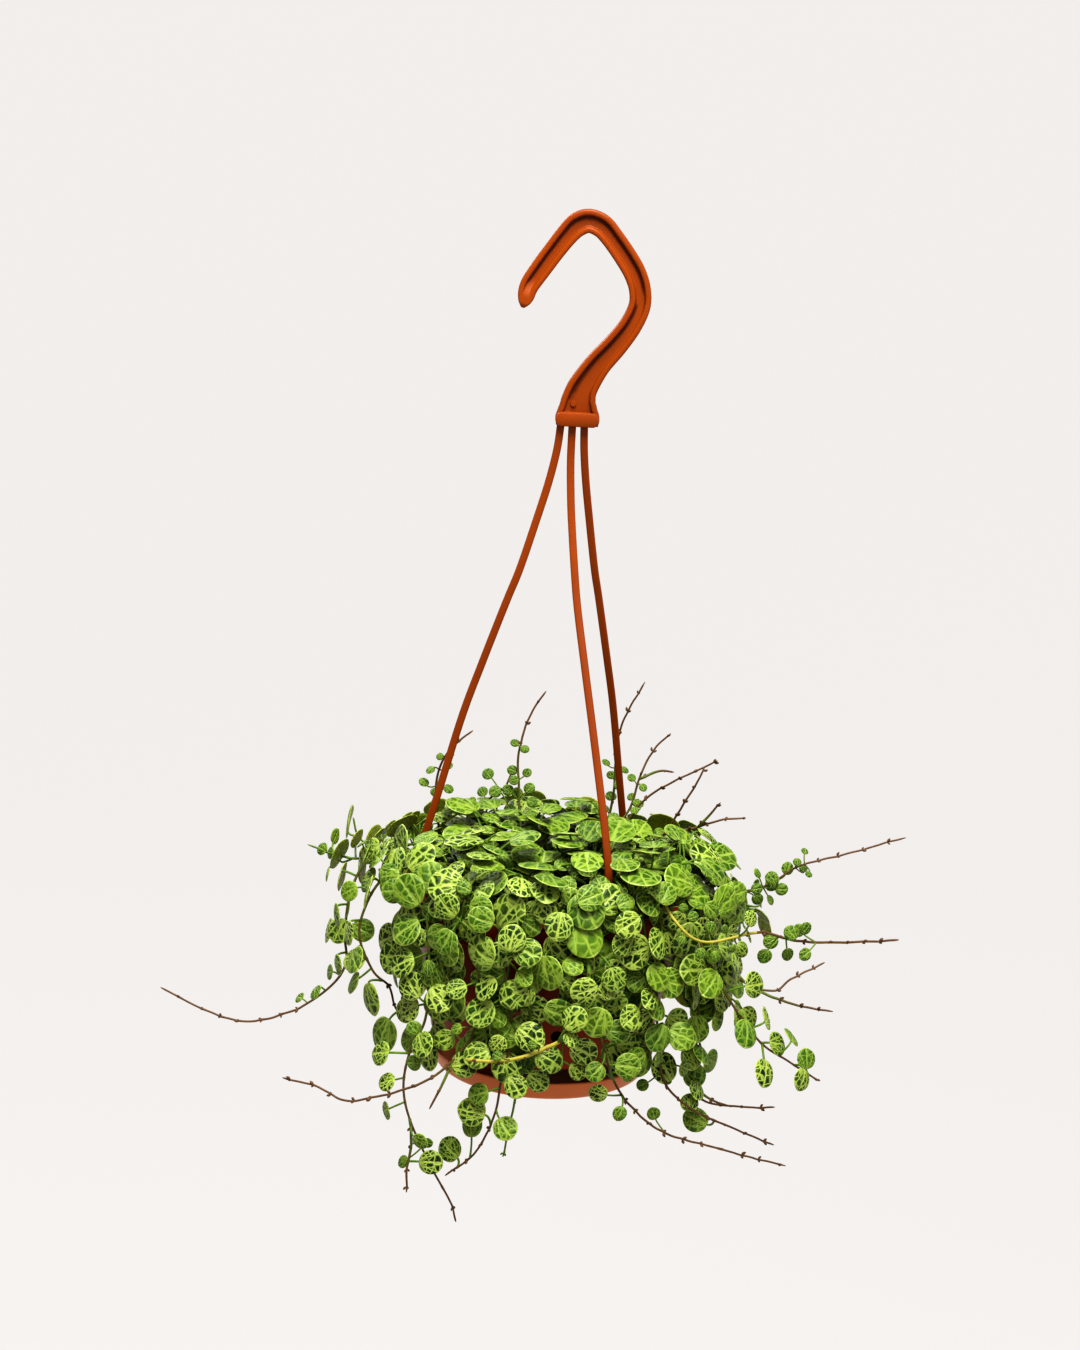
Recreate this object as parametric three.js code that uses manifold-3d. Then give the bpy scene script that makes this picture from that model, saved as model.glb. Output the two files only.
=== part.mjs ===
// Potted string of turtles: a trailing plant with round fleshy leaves in a hanging pot.
// Millimetres, +Z up. Inside this file heights count from the plane of the saucer's rim, with the
// pot's axis at x = 0, y = 0. The last group then puts the origin at the hook's bearing point.
import * as THREE from 'three';
import { mergeVertices } from 'three/addons/utils/BufferGeometryUtils.js';
import Module from 'manifold-3d';

const wasm = await Module();
wasm.setup();

// Driving sizes of the holder
const HANG_HEIGHT = 330;
const GAP = 0.3;
const ROUND_SEGMENTS = 24;
const RIM_RADIUS = 60;
const RIM_TOP = 68.2;
const RIM_BOTTOM = 57;
const LEDGE_THICKNESS = 1.8;
const WALL = 1.2;
const STEP_HEIGHT = 30;
const STEP_RADIUS = 50.6;
const STEP_DEPTH = 1.6;
const BASE_RADIUS = 43.5;
const BASE_HEIGHT = 5;
const BASE_THICKNESS = 1.6;
const CLIP_RADIUS = 56.4;
const CLIP_AZIMUTHS = [175.5, -64.5, 55.5];
const CLIP_WIDTH = 3.2;
const CLIP_THICKNESS = 2.2;
const POST_RADIUS = 30;
const POST_WIDTH = 8;
const POST_AZIMUTHS = [45, 135, 225, 315];
const DRAIN_RADIUS = 3.4;
const DRAIN_RING = 17;
const DRAIN_COUNT = 6;
const SIDE_DRAIN_RADIUS = 2.6;
const SIDE_DRAIN_HEIGHT = 20.5;
const SIDE_DRAIN_AZIMUTHS = [7, 97, 187, 277];
const SAUCER_RADIUS = 46.7;
const SAUCER_FLOOR_RADIUS = 42;
const SAUCER_DEPTH = 8;
const SOIL_EDGE_HEIGHT = 60.5;
const SOIL_TOP_HEIGHT = 65;

// Driving sizes of the hook: its centreline with the half width of the bar at each point
const HOOK_LINE = [
  [0, 255.8, 8.2], [0, 259, 8.6], [0, 262.5, 7.5], [0.2, 266, 6.6], [1.6, 271, 5.8], [6.6, 279.6, 5],
  [13.2, 287.8, 4.6], [18.4, 295.5, 4.3], [21.4, 303, 4.2], [21.2, 309.4, 4.2], [18.9, 315.6, 4.3],
  [14.8, 321.8, 4.3], [9.4, 328.6, 4.3], [5.2, 332.8, 4.5], [0.2, 334.5, 4.5], [-4.2, 332.9, 4.6],
  [-7.6, 329.4, 4.3], [-12, 323.4, 4.1], [-17.5, 315.2, 4], [-21.4, 308.8, 3.7], [-22.7, 303.8, 3],
  [-23.6, 300.2, 1],
];
const HOOK_THICKNESS = 6.4;
const HOOK_RECESS = 1.9;
const HOOK_RIM = 2.2;
const FLANGE = { halfWidth: 9, bottom: 255.4, top: 261, thickness: 8.4 };
const STRAND_TOPS = [-6.2, -1.8, 2.8];
const STRAND_WIDTH = 3;
const STRAND_THICKNESS = 2;
const STRAND_STEPS = 9;
const SIDE_FALL = [
  [0, 257], [0.02, 246], [0.07, 233], [0.15, 217.5], [0.26, 197.5], [0.353, 183.9], [0.513, 159.4],
  [0.661, 135.5], [0.83, 101.5], [0.95, 78.5], [1, 69.4],
];
const FRONT_FALL = [
  [0, 257], [0.005, 243], [0.03, 231], [0.07, 219], [0.16, 199], [0.24, 184.5], [0.4, 162.5],
  [0.6, 135.5], [0.84, 101.5], [0.955, 78.5], [1, 69.4],
];
const STRAND_FALLS = [SIDE_FALL, FRONT_FALL, SIDE_FALL];

// Driving sizes of the plant
const STEM_GIRTH = 1;
const WISP_GIRTH = 0.75;
const LEAF_THICKNESS = 1.4;
const PETIOLE_HALF_WIDTH = 0.55;
const ROOT_DEPTH = 57;
const ROOT_TOP = 67.5;
const ROOT_HOLE_GIRTH = 3.4;
const ROOT_HOLE_DEPTH = 12;
const SPINE_SAMPLES = 96;
const LEAF_TRIES = 18;

const radians = THREE.MathUtils.degToRad;
const vec = (x, y, z) => new THREE.Vector3(x, y, z);
const UP = vec(0, 0, 1);

function solid(geometry) {
  const bare = geometry.clone();
  bare.deleteAttribute('normal');
  bare.deleteAttribute('uv');
  const merged = mergeVertices(bare, 1e-4);
  const mesh = new wasm.Mesh({
    numProp: 3,
    vertProperties: new Float32Array(merged.attributes.position.array),
    triVerts: new Uint32Array(merged.index.array),
  });
  return new wasm.Manifold(mesh);
}

function geometryOf(manifold) {
  const mesh = manifold.getMesh();
  const geometry = new THREE.BufferGeometry();
  geometry.setAttribute('position', new THREE.BufferAttribute(mesh.vertProperties, 3));
  geometry.setIndex(new THREE.BufferAttribute(mesh.triVerts, 1));
  geometry.computeVertexNormals();
  return geometry;
}

function lathe(profile, segments = ROUND_SEGMENTS) {
  const geometry = new THREE.LatheGeometry(profile.map(([r, z]) => new THREE.Vector2(r, z)), segments);
  return solid(geometry.rotateX(Math.PI / 2));
}

function prism(outline, depth) {
  const shape = new THREE.Shape(outline.map(([x, y]) => new THREE.Vector2(x, y)));
  return new THREE.ExtrudeGeometry(shape, { depth, bevelEnabled: false });
}

function box(dx, dy, dz, x, y, z) {
  return new THREE.BoxGeometry(dx, dy, dz).translate(x, y, z);
}

function turned(geometry, azimuth) {
  return geometry.rotateZ(radians(azimuth));
}

// An outline given in the plane of radius and height, extruded by a width across the radius.
function radialPlate(outline, width, azimuth) {
  const plate = prism(outline, width).translate(0, 0, -width / 2).rotateX(Math.PI / 2);
  return turned(plate, azimuth);
}

function innerWallRadius(z) {
  const lower = BASE_RADIUS + 2.1 - WALL + (z - BASE_HEIGHT - BASE_THICKNESS) * 0.15;
  const upper = STEP_RADIUS - WALL + (z - STEP_HEIGHT - 1.5) * 0.098;
  return z < STEP_HEIGHT ? lower : upper;
}

function potSolid() {
  const ledgeUnder = RIM_TOP - LEDGE_THICKNESS;
  const baseTop = BASE_HEIGHT + BASE_THICKNESS;
  const profile = [
    [0, BASE_HEIGHT],
    [BASE_RADIUS, BASE_HEIGHT],
    [BASE_RADIUS + 2.1, BASE_HEIGHT + 1.4],
    [STEP_RADIUS - STEP_DEPTH, STEP_HEIGHT - 1],
    [STEP_RADIUS, STEP_HEIGHT + 0.5],
    [innerWallRadius(ledgeUnder) + WALL, ledgeUnder],
    [RIM_RADIUS - WALL - 0.2, ledgeUnder],
    [RIM_RADIUS - WALL - 0.2, RIM_BOTTOM],
    [RIM_RADIUS - 0.4, RIM_BOTTOM],
    [RIM_RADIUS, RIM_TOP],
    [innerWallRadius(RIM_TOP), RIM_TOP],
    [innerWallRadius(STEP_HEIGHT + 1.5), STEP_HEIGHT + 1.5],
    [innerWallRadius(STEP_HEIGHT - 1), STEP_HEIGHT - 0.2],
    [innerWallRadius(baseTop + 1), baseTop + 1],
    [BASE_RADIUS - 0.4, baseTop],
    [0, baseTop],
  ];
  let pot = lathe(profile);
  for (const azimuth of CLIP_AZIMUTHS) {
    const slot = box(CLIP_THICKNESS + 2 * GAP, CLIP_WIDTH + 2 * GAP, 6, CLIP_RADIUS, 0, RIM_TOP - 1);
    pot = pot.subtract(solid(turned(slot, azimuth)));
  }
  for (const azimuth of POST_AZIMUTHS) {
    const slot = box(2 + 2 * GAP, POST_WIDTH + 2 * GAP, 6, POST_RADIUS, 0, BASE_HEIGHT + 1);
    pot = pot.subtract(solid(turned(slot, azimuth)));
  }
  for (let i = 0; i < DRAIN_COUNT; i += 1) {
    const hole = new THREE.CylinderGeometry(DRAIN_RADIUS, DRAIN_RADIUS, 6, 6).rotateX(Math.PI / 2);
    pot = pot.subtract(solid(turned(hole.translate(DRAIN_RING, 0, BASE_HEIGHT + 1), i * 360 / DRAIN_COUNT)));
  }
  for (const azimuth of SIDE_DRAIN_AZIMUTHS) {
    const hole = new THREE.CylinderGeometry(SIDE_DRAIN_RADIUS, SIDE_DRAIN_RADIUS, 8, 6).rotateZ(Math.PI / 2);
    hole.translate(STEP_RADIUS - 3, 0, SIDE_DRAIN_HEIGHT);
    pot = pot.subtract(solid(turned(hole, azimuth)));
  }
  return pot;
}

function saucerSolid() {
  const floor = -SAUCER_DEPTH;
  const profile = [
    [0, floor],
    [SAUCER_FLOOR_RADIUS, floor],
    [SAUCER_FLOOR_RADIUS + 1.2, floor + 1],
    [SAUCER_RADIUS - 0.5, -0.4],
    [SAUCER_RADIUS - 0.8, 0.2],
    [SAUCER_RADIUS - 1.7, 0],
    [SAUCER_FLOOR_RADIUS, floor + 1.9],
    [0, floor + 1.9],
  ];
  const floorTop = floor + 1.9;
  const baseTop = BASE_HEIGHT + BASE_THICKNESS;
  const half = 1;
  const post = [
    [POST_RADIUS - 1.9, floorTop - 0.5],
    [POST_RADIUS + 1.9, floorTop - 0.5],
    [POST_RADIUS + 1.9, BASE_HEIGHT - GAP],
    [POST_RADIUS + half, BASE_HEIGHT - GAP],
    [POST_RADIUS + half, baseTop + GAP],
    [POST_RADIUS + half + 1.4, baseTop + GAP],
    [POST_RADIUS + half, baseTop + 2.8],
    [POST_RADIUS - half, baseTop + 2.8],
    [POST_RADIUS - half, BASE_HEIGHT - GAP],
    [POST_RADIUS - 1.9, BASE_HEIGHT - GAP],
  ];
  let saucer = lathe(profile);
  for (const azimuth of POST_AZIMUTHS) {
    saucer = saucer.add(solid(radialPlate(post, POST_WIDTH, azimuth)));
  }
  return saucer;
}

function hookEdge(offset, first, last) {
  const edge = [];
  for (let i = first; i <= last; i += 1) {
    const [x, z, half] = HOOK_LINE[i];
    const before = HOOK_LINE[Math.max(i - 1, 0)];
    const after = HOOK_LINE[Math.min(i + 1, HOOK_LINE.length - 1)];
    const along = new THREE.Vector2(after[0] - before[0], after[1] - before[1]).normalize();
    const reach = half - offset;
    edge.push([[x + along.y * reach, z - along.x * reach], [x - along.y * reach, z + along.x * reach]]);
  }
  return edge.map((pair) => pair[0]).concat(edge.map((pair) => pair[1]).reverse());
}

// The hook lies in the plane of x and height, centred on y = 0.
function standing(geometry, middle) {
  return geometry.rotateX(Math.PI / 2).translate(0, middle, 0);
}

function hookSolid() {
  const last = HOOK_LINE.length - 1;
  const body = prism(hookEdge(0, 0, last), HOOK_THICKNESS);
  let hook = solid(standing(body, HOOK_THICKNESS / 2));
  for (const face of [-1, 1]) {
    const recess = prism(hookEdge(HOOK_RIM, 2, last - 2), 2 * HOOK_RECESS);
    hook = hook.subtract(solid(standing(recess, face * HOOK_THICKNESS / 2 + HOOK_RECESS)));
  }
  const { halfWidth, bottom, top, thickness } = FLANGE;
  const flange = [
    [-halfWidth + 2, bottom], [halfWidth - 2, bottom], [halfWidth - 0.4, bottom + 1.4],
    [halfWidth, bottom + 3], [halfWidth - 1.6, top], [-halfWidth + 1.6, top],
    [-halfWidth, bottom + 3], [-halfWidth + 0.4, bottom + 1.4],
  ];
  return hook.add(solid(standing(prism(flange, thickness), thickness / 2)));
}

function strandPoint(index, fall, height) {
  const azimuth = radians(CLIP_AZIMUTHS[index]);
  const foot = vec(CLIP_RADIUS * Math.cos(azimuth), CLIP_RADIUS * Math.sin(azimuth), 0);
  return vec(STRAND_TOPS[index], 0, 0).lerp(foot, fall).setZ(height);
}

function strandPoints(index) {
  return STRAND_FALLS[index].map(([fall, height]) => strandPoint(index, fall, height));
}

// A flat bar swept along a curve, with its width kept along the x axis.
function flatBar(points, width, thickness, steps) {
  const curve = new THREE.CatmullRomCurve3(points, false, 'catmullrom', 0.5);
  const position = [];
  const index = [];
  for (let i = 0; i <= steps; i += 1) {
    const at = curve.getPoint(i / steps);
    const along = curve.getTangent(i / steps);
    const across = vec(1, 0, 0).addScaledVector(along, -along.x).normalize();
    const out = along.clone().cross(across);
    for (const [a, b] of [[1, 1], [-1, 1], [-1, -1], [1, -1]]) {
      const corner = at.clone().addScaledVector(across, a * width / 2).addScaledVector(out, b * thickness / 2);
      position.push(corner.x, corner.y, corner.z);
    }
  }
  for (let i = 0; i < steps; i += 1) {
    for (let j = 0; j < 4; j += 1) {
      const a = 4 * i + j;
      const b = 4 * i + (j + 1) % 4;
      index.push(a, b, b + 4, a, b + 4, a + 4);
    }
  }
  const end = 4 * steps;
  index.push(0, 2, 1, 0, 3, 2, end, end + 1, end + 2, end, end + 2, end + 3);
  const geometry = new THREE.BufferGeometry();
  geometry.setAttribute('position', new THREE.Float32BufferAttribute(position, 3));
  geometry.setIndex(index);
  return geometry;
}

// The clip at a strand's foot: a collar above the ledge, a shank through it and an arrow below it.
function clip(azimuth) {
  const half = CLIP_WIDTH / 2;
  const under = RIM_TOP - LEDGE_THICKNESS - GAP;
  const outline = [
    [-half, under - 3.6], [half, under - 3.6], [half + 1.7, under], [half, under],
    [half, RIM_TOP + GAP], [half + 1.6, RIM_TOP + GAP],
    [half + 1.6, RIM_TOP + 2.2], [-half - 1.6, RIM_TOP + 2.2],
    [-half - 1.6, RIM_TOP + GAP], [-half, RIM_TOP + GAP], [-half, under], [-half - 1.7, under],
  ];
  const plate = prism(outline, CLIP_THICKNESS).translate(0, 0, -CLIP_THICKNESS / 2).rotateX(Math.PI / 2);
  return turned(plate.rotateZ(Math.PI / 2).translate(CLIP_RADIUS, 0, 0), azimuth);
}

function hangerSolid() {
  let hanger = hookSolid();
  CLIP_AZIMUTHS.forEach((azimuth, index) => {
    hanger = hanger.add(solid(flatBar(strandPoints(index), STRAND_WIDTH, STRAND_THICKNESS, STRAND_STEPS)));
    hanger = hanger.add(solid(clip(azimuth)));
  });
  return hanger;
}

// Leafy stems. A kind gives the leaves along a stem: where the first one is, as a share of its length,
// the spacing, the leaf radius at the first leaf and at the tip, and the petiole's length.
const KINDS = {
  crown: { first: 0.14, spacing: 9.5, large: 8, small: 6.6, petiole: 4.4 },
  curtain: { first: 0.2, spacing: 9, large: 7.2, small: 5.4, petiole: 4.2 },
  back: { first: 0.2, spacing: 15, large: 7.6, small: 5.4, petiole: 4 },
  dense: { first: 0.24, spacing: 8.6, large: 5.2, small: 3.4, petiole: 3.2 },
  column: { first: 0.16, spacing: 10, large: 6.8, small: 4.6, petiole: 3.8 },
  trailing: { first: 0.14, spacing: 12, large: 6.6, small: 2.6, petiole: 3.4 },
  wisp: { first: 0.2, spacing: 15, large: 2.8, small: 1.8, petiole: 2 },
  bare: { first: 0.5, spacing: 18, large: 2, small: 1.5, petiole: 1.8 },
};

// Leaves that cover the gaps: the kinds of stem that carry them, how far from the pot, and the two rounds,
// first the large leaves over the rim and last the rest.
const COVER_KINDS = ['crown', 'curtain', 'back', 'column', 'dense'];
const COVER_REACH = 26;
const STACK_DEPTH = 16;
const STALK_LENGTHS = [1.5, 11];
const RIM_COVER = { start: 55, tries: 6000, wanted: 50, sizes: [8.4, 7], spread: 0.55, heights: [60, 84] };
const GAP_COVER = { start: 83, tries: 6000, wanted: 32, sizes: [7.8, 5.6], spread: 0.5, heights: [4, 200] };

// Stems seen clearly one by one: how much of the length carries leaves, the root in the soil, and the
// route, chosen by hand. A branch carries no leaves.
const FEATURE_STEMS = [
  { name: 'stem_left_long', kind: 'trailing', leafy: 0.7, root: [-22, 3],
    route: [[-34, 1, 76], [-56, -1, 79], [-72, -3, 77], [-80, -6, 64], [-82, -9, 46], [-81, -10, 33],
      [-87, -12, 23], [-101, -14, 13], [-119, -14, 7], [-137, -12, 10], [-156, -10, 18]] },
  { name: 'stem_left_loop', kind: 'column', leafy: 0.84, root: [-26, -10],
    route: [[-40, -14, 78], [-57, -19, 78], [-66, -22, 74], [-72, -24, 65], [-75, -26, 51], [-69, -28, 37],
      [-62, -30, 31], [-58, -32, 22], [-51, -37, 24]] },
  { name: 'stem_left_spray', kind: 'dense', leafy: 0.9, root: [-34, 14],
    route: [[-46, 14, 77], [-60, 14, 77], [-74, 14, 71], [-85, 12, 71], [-100, 10, 76]] },
  { name: 'stem_left_short', kind: 'dense', leafy: 0.66, root: [-30, 24],
    route: [[-42, 24, 76], [-56, 25, 75], [-69, 26, 69], [-76, 26, 72], [-81, 26, 77], [-83, 26, 84]] },
  { name: 'stem_front_left_long', kind: 'trailing', leafy: 0.86, root: [-18, -22],
    route: [[-28, -32, 79], [-41, -45, 78], [-47, -50, 72], [-46, -56, 59], [-45, -57, 43], [-46, -58, 28],
      [-51, -59, 16], [-53, -60, 2], [-50, -60, -12], [-41, -58, -32], [-33, -56, -47], [-30, -54, -57]],
    branch: { kind: 'bare', route: [[-50, -60, -12], [-49, -61, -22], [-50, -62, -33], [-50, -62, -42]] } },
  { name: 'stem_front_left_reach', kind: 'trailing', leafy: 0.52, root: [-14, -34],
    route: [[-24, -42, 78], [-32, -52, 77], [-33, -60, 71], [-27, -64, 56], [-25, -66, 37], [-29, -68, 23],
      [-39, -70, 12], [-52, -69, 4], [-74, -62, -5], [-87, -57, -2], [-101, -52, -1]],
    branch: { kind: 'bare', route: [[-34, -69, 16], [-38, -72, 7], [-42, -73, -2]] } },
  { name: 'stem_front_curl', kind: 'column', leafy: 0.82, root: [-8, -24],
    route: [[-13, -40, 80], [-18, -55, 77], [-19, -64, 69], [-16, -69, 54], [-12, -70, 31], [-15, -72, 11],
      [-17, -71, -4], [-24, -67, -22], [-35, -62, -34]] },
  { name: 'stem_front_drop', kind: 'curtain', leafy: 0.76, root: [-2, -34],
    route: [[-4, -46, 79], [-6, -58, 76], [-6, -65, 67], [-5, -67, 48], [-6, -69, 22], [-9, -69, 4],
      [-11, -67, -12], [-13, -66, -23]] },
  { name: 'stem_front_cross', kind: 'bare', leafy: 0, root: [8, -28],
    route: [[10, -42, 80], [12, -58, 76], [14, -66, 67], [16, -74, 51], [9, -79, 34], [-1, -80, 27],
      [-15, -80, 22], [-29, -78, 21]] },
  { name: 'stem_right_low', kind: 'trailing', leafy: 0.58, root: [12, -38],
    route: [[16, -48, 78], [18, -58, 75], [19, -64, 66], [18, -66, 49], [23, -67, 27], [31, -64, 6],
      [48, -55, -13], [73, -44, -24], [101, -34, -34]] },
  { name: 'stem_right_low_mid', kind: 'trailing', leafy: 0.66, root: [26, -28],
    route: [[34, -38, 79], [41, -46, 75], [44, -50, 66], [43, -51, 47], [45, -50, 26], [49, -48, 5],
      [61, -44, -8], [79, -37, -18], [96, -30, -27]] },
  { name: 'stem_right_column', kind: 'column', leafy: 0.74, root: [30, -18],
    route: [[42, -25, 79], [52, -30, 76], [58, -33, 66], [60, -34, 44], [62, -34, 21], [60, -34, 4],
      [66, -31, -9], [82, -26, -13], [96, -22, -14]],
    branch: { kind: 'bare', route: [[60, -34, 2], [67, -38, -5], [77, -39, -8]] } },
  { name: 'stem_right_big', kind: 'column', leafy: 0.93, root: [22, -20],
    route: [[36, -33, 83], [48, -43, 78], [58, -48, 65], [70, -50, 44], [85, -45, 23], [98, -40, 13],
      [111, -36, 4]] },
  { name: 'stem_right_hook', kind: 'trailing', leafy: 0.66, root: [32, -4],
    route: [[44, -7, 80], [56, -10, 77], [65, -12, 65], [71, -14, 48], [81, -16, 36], [93, -14, 33],
      [100, -12, 38], [113, -8, 44]],
    branch: { kind: 'bare', route: [[82, -16, 36], [92, -20, 32], [103, -22, 30], [116, -24, 29]] } },
  { name: 'stem_right_yellow', kind: 'wisp', leafy: 0.62, root: [20, -10],
    route: [[30, -24, 86], [40, -42, 84], [48, -55, 74], [60, -56, 66], [82, -47, 68], [99, -40, 63],
      [120, -34, 62], [139, -28, 62]] },
  { name: 'stem_right_pairs', kind: 'wisp', leafy: 0.72, root: [36, 8],
    route: [[48, 8, 80], [60, 6, 76], [70, 4, 70], [80, 2, 69], [90, 0, 74], [101, 0, 82], [121, 2, 88],
      [143, 4, 95]] },
  { name: 'stem_up_right_a', kind: 'wisp', leafy: 0.55, root: [24, 26],
    route: [[28, 28, 82], [36, 30, 96], [47, 26, 106], [66, 22, 118]] },
  { name: 'stem_up_right_b', kind: 'wisp', leafy: 0.5, root: [34, 18],
    route: [[40, 17, 80], [47, 14, 90], [55, 10, 107], [60, 8, 118]] },
  { name: 'stem_up_right_c', kind: 'wisp', leafy: 0.7, root: [22, 36],
    route: [[25, 35, 80], [32, 37, 92], [35, 39, 104], [40, 41, 116], [47, 40, 124]],
    branch: { kind: 'bare', route: [[35, 39, 104], [43, 38, 108], [49, 34, 109]] } },
  { name: 'stem_up_right_d', kind: 'wisp', leafy: 0.5, root: [38, 24],
    route: [[43, 24, 77], [50, 22, 86], [60, 20, 90], [69, 18, 94], [78, 16, 96]],
    branch: { kind: 'bare', route: [[60, 20, 90], [64, 18, 96], [68, 16, 102]] } },
  { name: 'stem_up_mid', kind: 'wisp', leafy: 0.72, root: [-10, 18],
    route: [[-12, 20, 80], [-14, 22, 90], [-15, 24, 102], [-16, 26, 112], [-15, 28, 121], [-11, 30, 133],
      [-6, 32, 141]] },
  { name: 'stem_up_left', kind: 'wisp', leafy: 0.85, root: [-30, 30],
    route: [[-31, 30, 80], [-30, 30, 89], [-26, 31, 95], [-21, 32, 99], [-18, 34, 106]] },
  { name: 'stem_up_back', kind: 'wisp', leafy: 0.6, root: [20, 46],
    route: [[23, 49, 80], [25, 50, 94], [25, 50, 106], [25, 50, 116], [28, 48, 129], [35, 46, 144]] },
  { name: 'stem_up_strand', kind: 'wisp', leafy: 0.8, root: [-42, 22],
    route: [[-46, 22, 78], [-48, 20, 90], [-49, 19, 102], [-47, 18, 112], [-42, 18, 120], [-35, 18, 126]] },
];

// Stems that fill the rest by rule: azimuth at the rim, how far out and how low they hang.
const CURTAIN_STEMS = [
  [-145, 62, 26, 'curtain'], [-128, 64, 12, 'curtain'], [-103, 66, 24, 'curtain'], [-89, 68, 48, 'curtain'],
  [-84, 67, 14, 'curtain'], [-66, 68, 36, 'curtain'], [-60, 69, 14, 'curtain'], [-38, 72, 36, 'dense'],
  [-21, 76, 30, 'dense'], [14, 86, 46, 'dense'], [25, 74, 30, 'dense'], [40, 70, 8, 'back'],
  [74, 68, -6, 'back'], [110, 68, 22, 'back'], [125, 67, 4, 'back'],
];

// Short stems that stay over the soil: azimuth and radius where they start and end, and the height.
const CROWN_STEMS = [
  [-100, 20, 34, 84], [-30, 14, 40, 86], [30, 12, 44, 85], [95, 18, 46, 84], [150, 16, 42, 85],
  [-150, 18, 44, 84], [-70, 8, 30, 90], [110, 6, 26, 91], [-140, 26, 52, 88], [-96, 28, 54, 88],
];

function seeded(start) {
  let state = start;
  return () => {
    state = (state * 1664525 + 1013904223) % 4294967296;
    return state / 4294967296;
  };
}

function polar(azimuth, radius, height) {
  const angle = radians(azimuth);
  return [radius * Math.cos(angle), radius * Math.sin(angle), height];
}

function curtainStem([azimuth, reach, low, kind], index, tries) {
  const draw = seeded(1000 + index * 77 + tries * 13);
  const turn = azimuth + Math.min(tries, 30) * 0.6 * (draw() - 0.5);
  const start = 8 + 34 * draw();
  const lift = 76 + 9 * draw();
  const sway = 8 * (draw() - 0.5);
  const drift = 5 * (draw() - 0.5);
  const rootAzimuth = turn + 30 * (draw() - 0.5);
  const drop = RIM_TOP - low;
  const route = [
    polar(turn + drift * 0.5, 0.5 * (start + 50), lift),
    polar(turn, 53, 78.5),
    polar(turn, 62.5, 74),
    polar(turn + sway * 0.3, 0.4 * 66 + 0.6 * reach, RIM_TOP - 0.18 * drop - 4),
    polar(turn + sway * 0.8, reach, RIM_TOP - 0.5 * drop - 2),
    polar(turn + sway, 0.25 * 66 + 0.75 * reach, RIM_TOP - 0.8 * drop),
    polar(turn + sway * 0.7, 0.3 * 66 + 0.7 * reach, low),
  ];
  const [x, y] = polar(rootAzimuth, start, 0);
  return { name: `stem_curtain_${String(index + 1).padStart(2, '0')}`, kind, leafy: 1, root: [x, y], route };
}

function crownStem([azimuth, start, end, top], index, tries) {
  const draw = seeded(5000 + index * 91 + tries * 17);
  const bend = 34 + 16 * draw();
  const shift = Math.min(tries + 8, 40) * (draw() - 0.5);
  const height = top + 4 * (draw() - 0.5);
  const route = [
    polar(azimuth + shift, start + 4, height - 6),
    polar(azimuth + shift + bend * 0.4, 0.5 * (start + end), height),
    polar(azimuth + shift + bend, end, height - 1),
    polar(azimuth + shift + bend * 1.6, end + 3, height - 4),
  ];
  const [x, y] = polar(azimuth + shift, start, 0);
  return { name: `stem_crown_${index + 1}`, kind: 'crown', leafy: 1, root: [x, y], route };
}

function spineOf(points) {
  const curve = new THREE.CatmullRomCurve3(points, false, 'catmullrom', 0.5);
  const marks = [];
  const lengths = [0];
  for (let i = 0; i <= SPINE_SAMPLES; i += 1) {
    marks.push(curve.getPoint(i / SPINE_SAMPLES));
    if (i > 0) lengths.push(lengths[i - 1] + marks[i].distanceTo(marks[i - 1]));
  }
  const total = lengths[SPINE_SAMPLES];
  const at = (distance) => {
    let i = 1;
    while (i < SPINE_SAMPLES && lengths[i] < distance) i += 1;
    const share = (distance - lengths[i - 1]) / (lengths[i] - lengths[i - 1]);
    const point = marks[i - 1].clone().lerp(marks[i], share);
    const along = marks[i].clone().sub(marks[i - 1]).normalize();
    return { point, along };
  };
  return { curve, marks, total, at };
}

function rodsOf(spine, girth, stem, every = 4) {
  const rods = [];
  for (let i = 0; i < SPINE_SAMPLES; i += every) {
    rods.push(rod(spine.marks[i], spine.marks[i + every], girth, stem));
  }
  return rods;
}

// The clearance test treats blades as discs and stems, petioles and strands as rods.
function rod(a, b, girth, stem) {
  const middle = a.clone().add(b).multiplyScalar(0.5);
  return { a, b, girth, stem, middle, bound: a.distanceTo(b) / 2 };
}

function disc(middle, facing, radius, stem) {
  return { middle, facing, bound: radius, girth: 0.8, stem };
}

function nearest(body, point) {
  if (body.facing) {
    const offset = point.clone().sub(body.middle);
    offset.addScaledVector(body.facing, -offset.dot(body.facing));
    const length = offset.length();
    if (length > body.bound) offset.multiplyScalar(body.bound / length);
    return offset.add(body.middle);
  }
  const along = body.b.clone().sub(body.a);
  const share = point.clone().sub(body.a).dot(along) / along.lengthSq();
  return body.a.clone().addScaledVector(along, Math.min(Math.max(share, 0), 1));
}

function clash(one, other, spare) {
  const need = one.girth + other.girth + spare;
  if (one.middle.distanceTo(other.middle) > one.bound + other.bound + need) return false;
  let there = other.middle;
  let here = there;
  for (let i = 0; i < 14; i += 1) {
    here = nearest(one, there);
    there = nearest(other, here);
  }
  return here.distanceTo(there) < need;
}

// Whether a point lies too near the pot, the saucer or the soil.
function insideHolder(point, spare) {
  const radius = Math.hypot(point.x, point.y);
  const z = point.z;
  if (z > RIM_TOP + spare) return false;
  if (radius < 52 - spare) return z < SOIL_TOP_HEIGHT + spare;
  if (z > RIM_BOTTOM - spare) return radius < RIM_RADIUS + spare;
  if (z > STEP_HEIGHT - spare) return radius < 54.4 + spare;
  if (z > BASE_HEIGHT) return radius < 49.4 + spare;
  return radius < SAUCER_RADIUS + spare;
}

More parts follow.
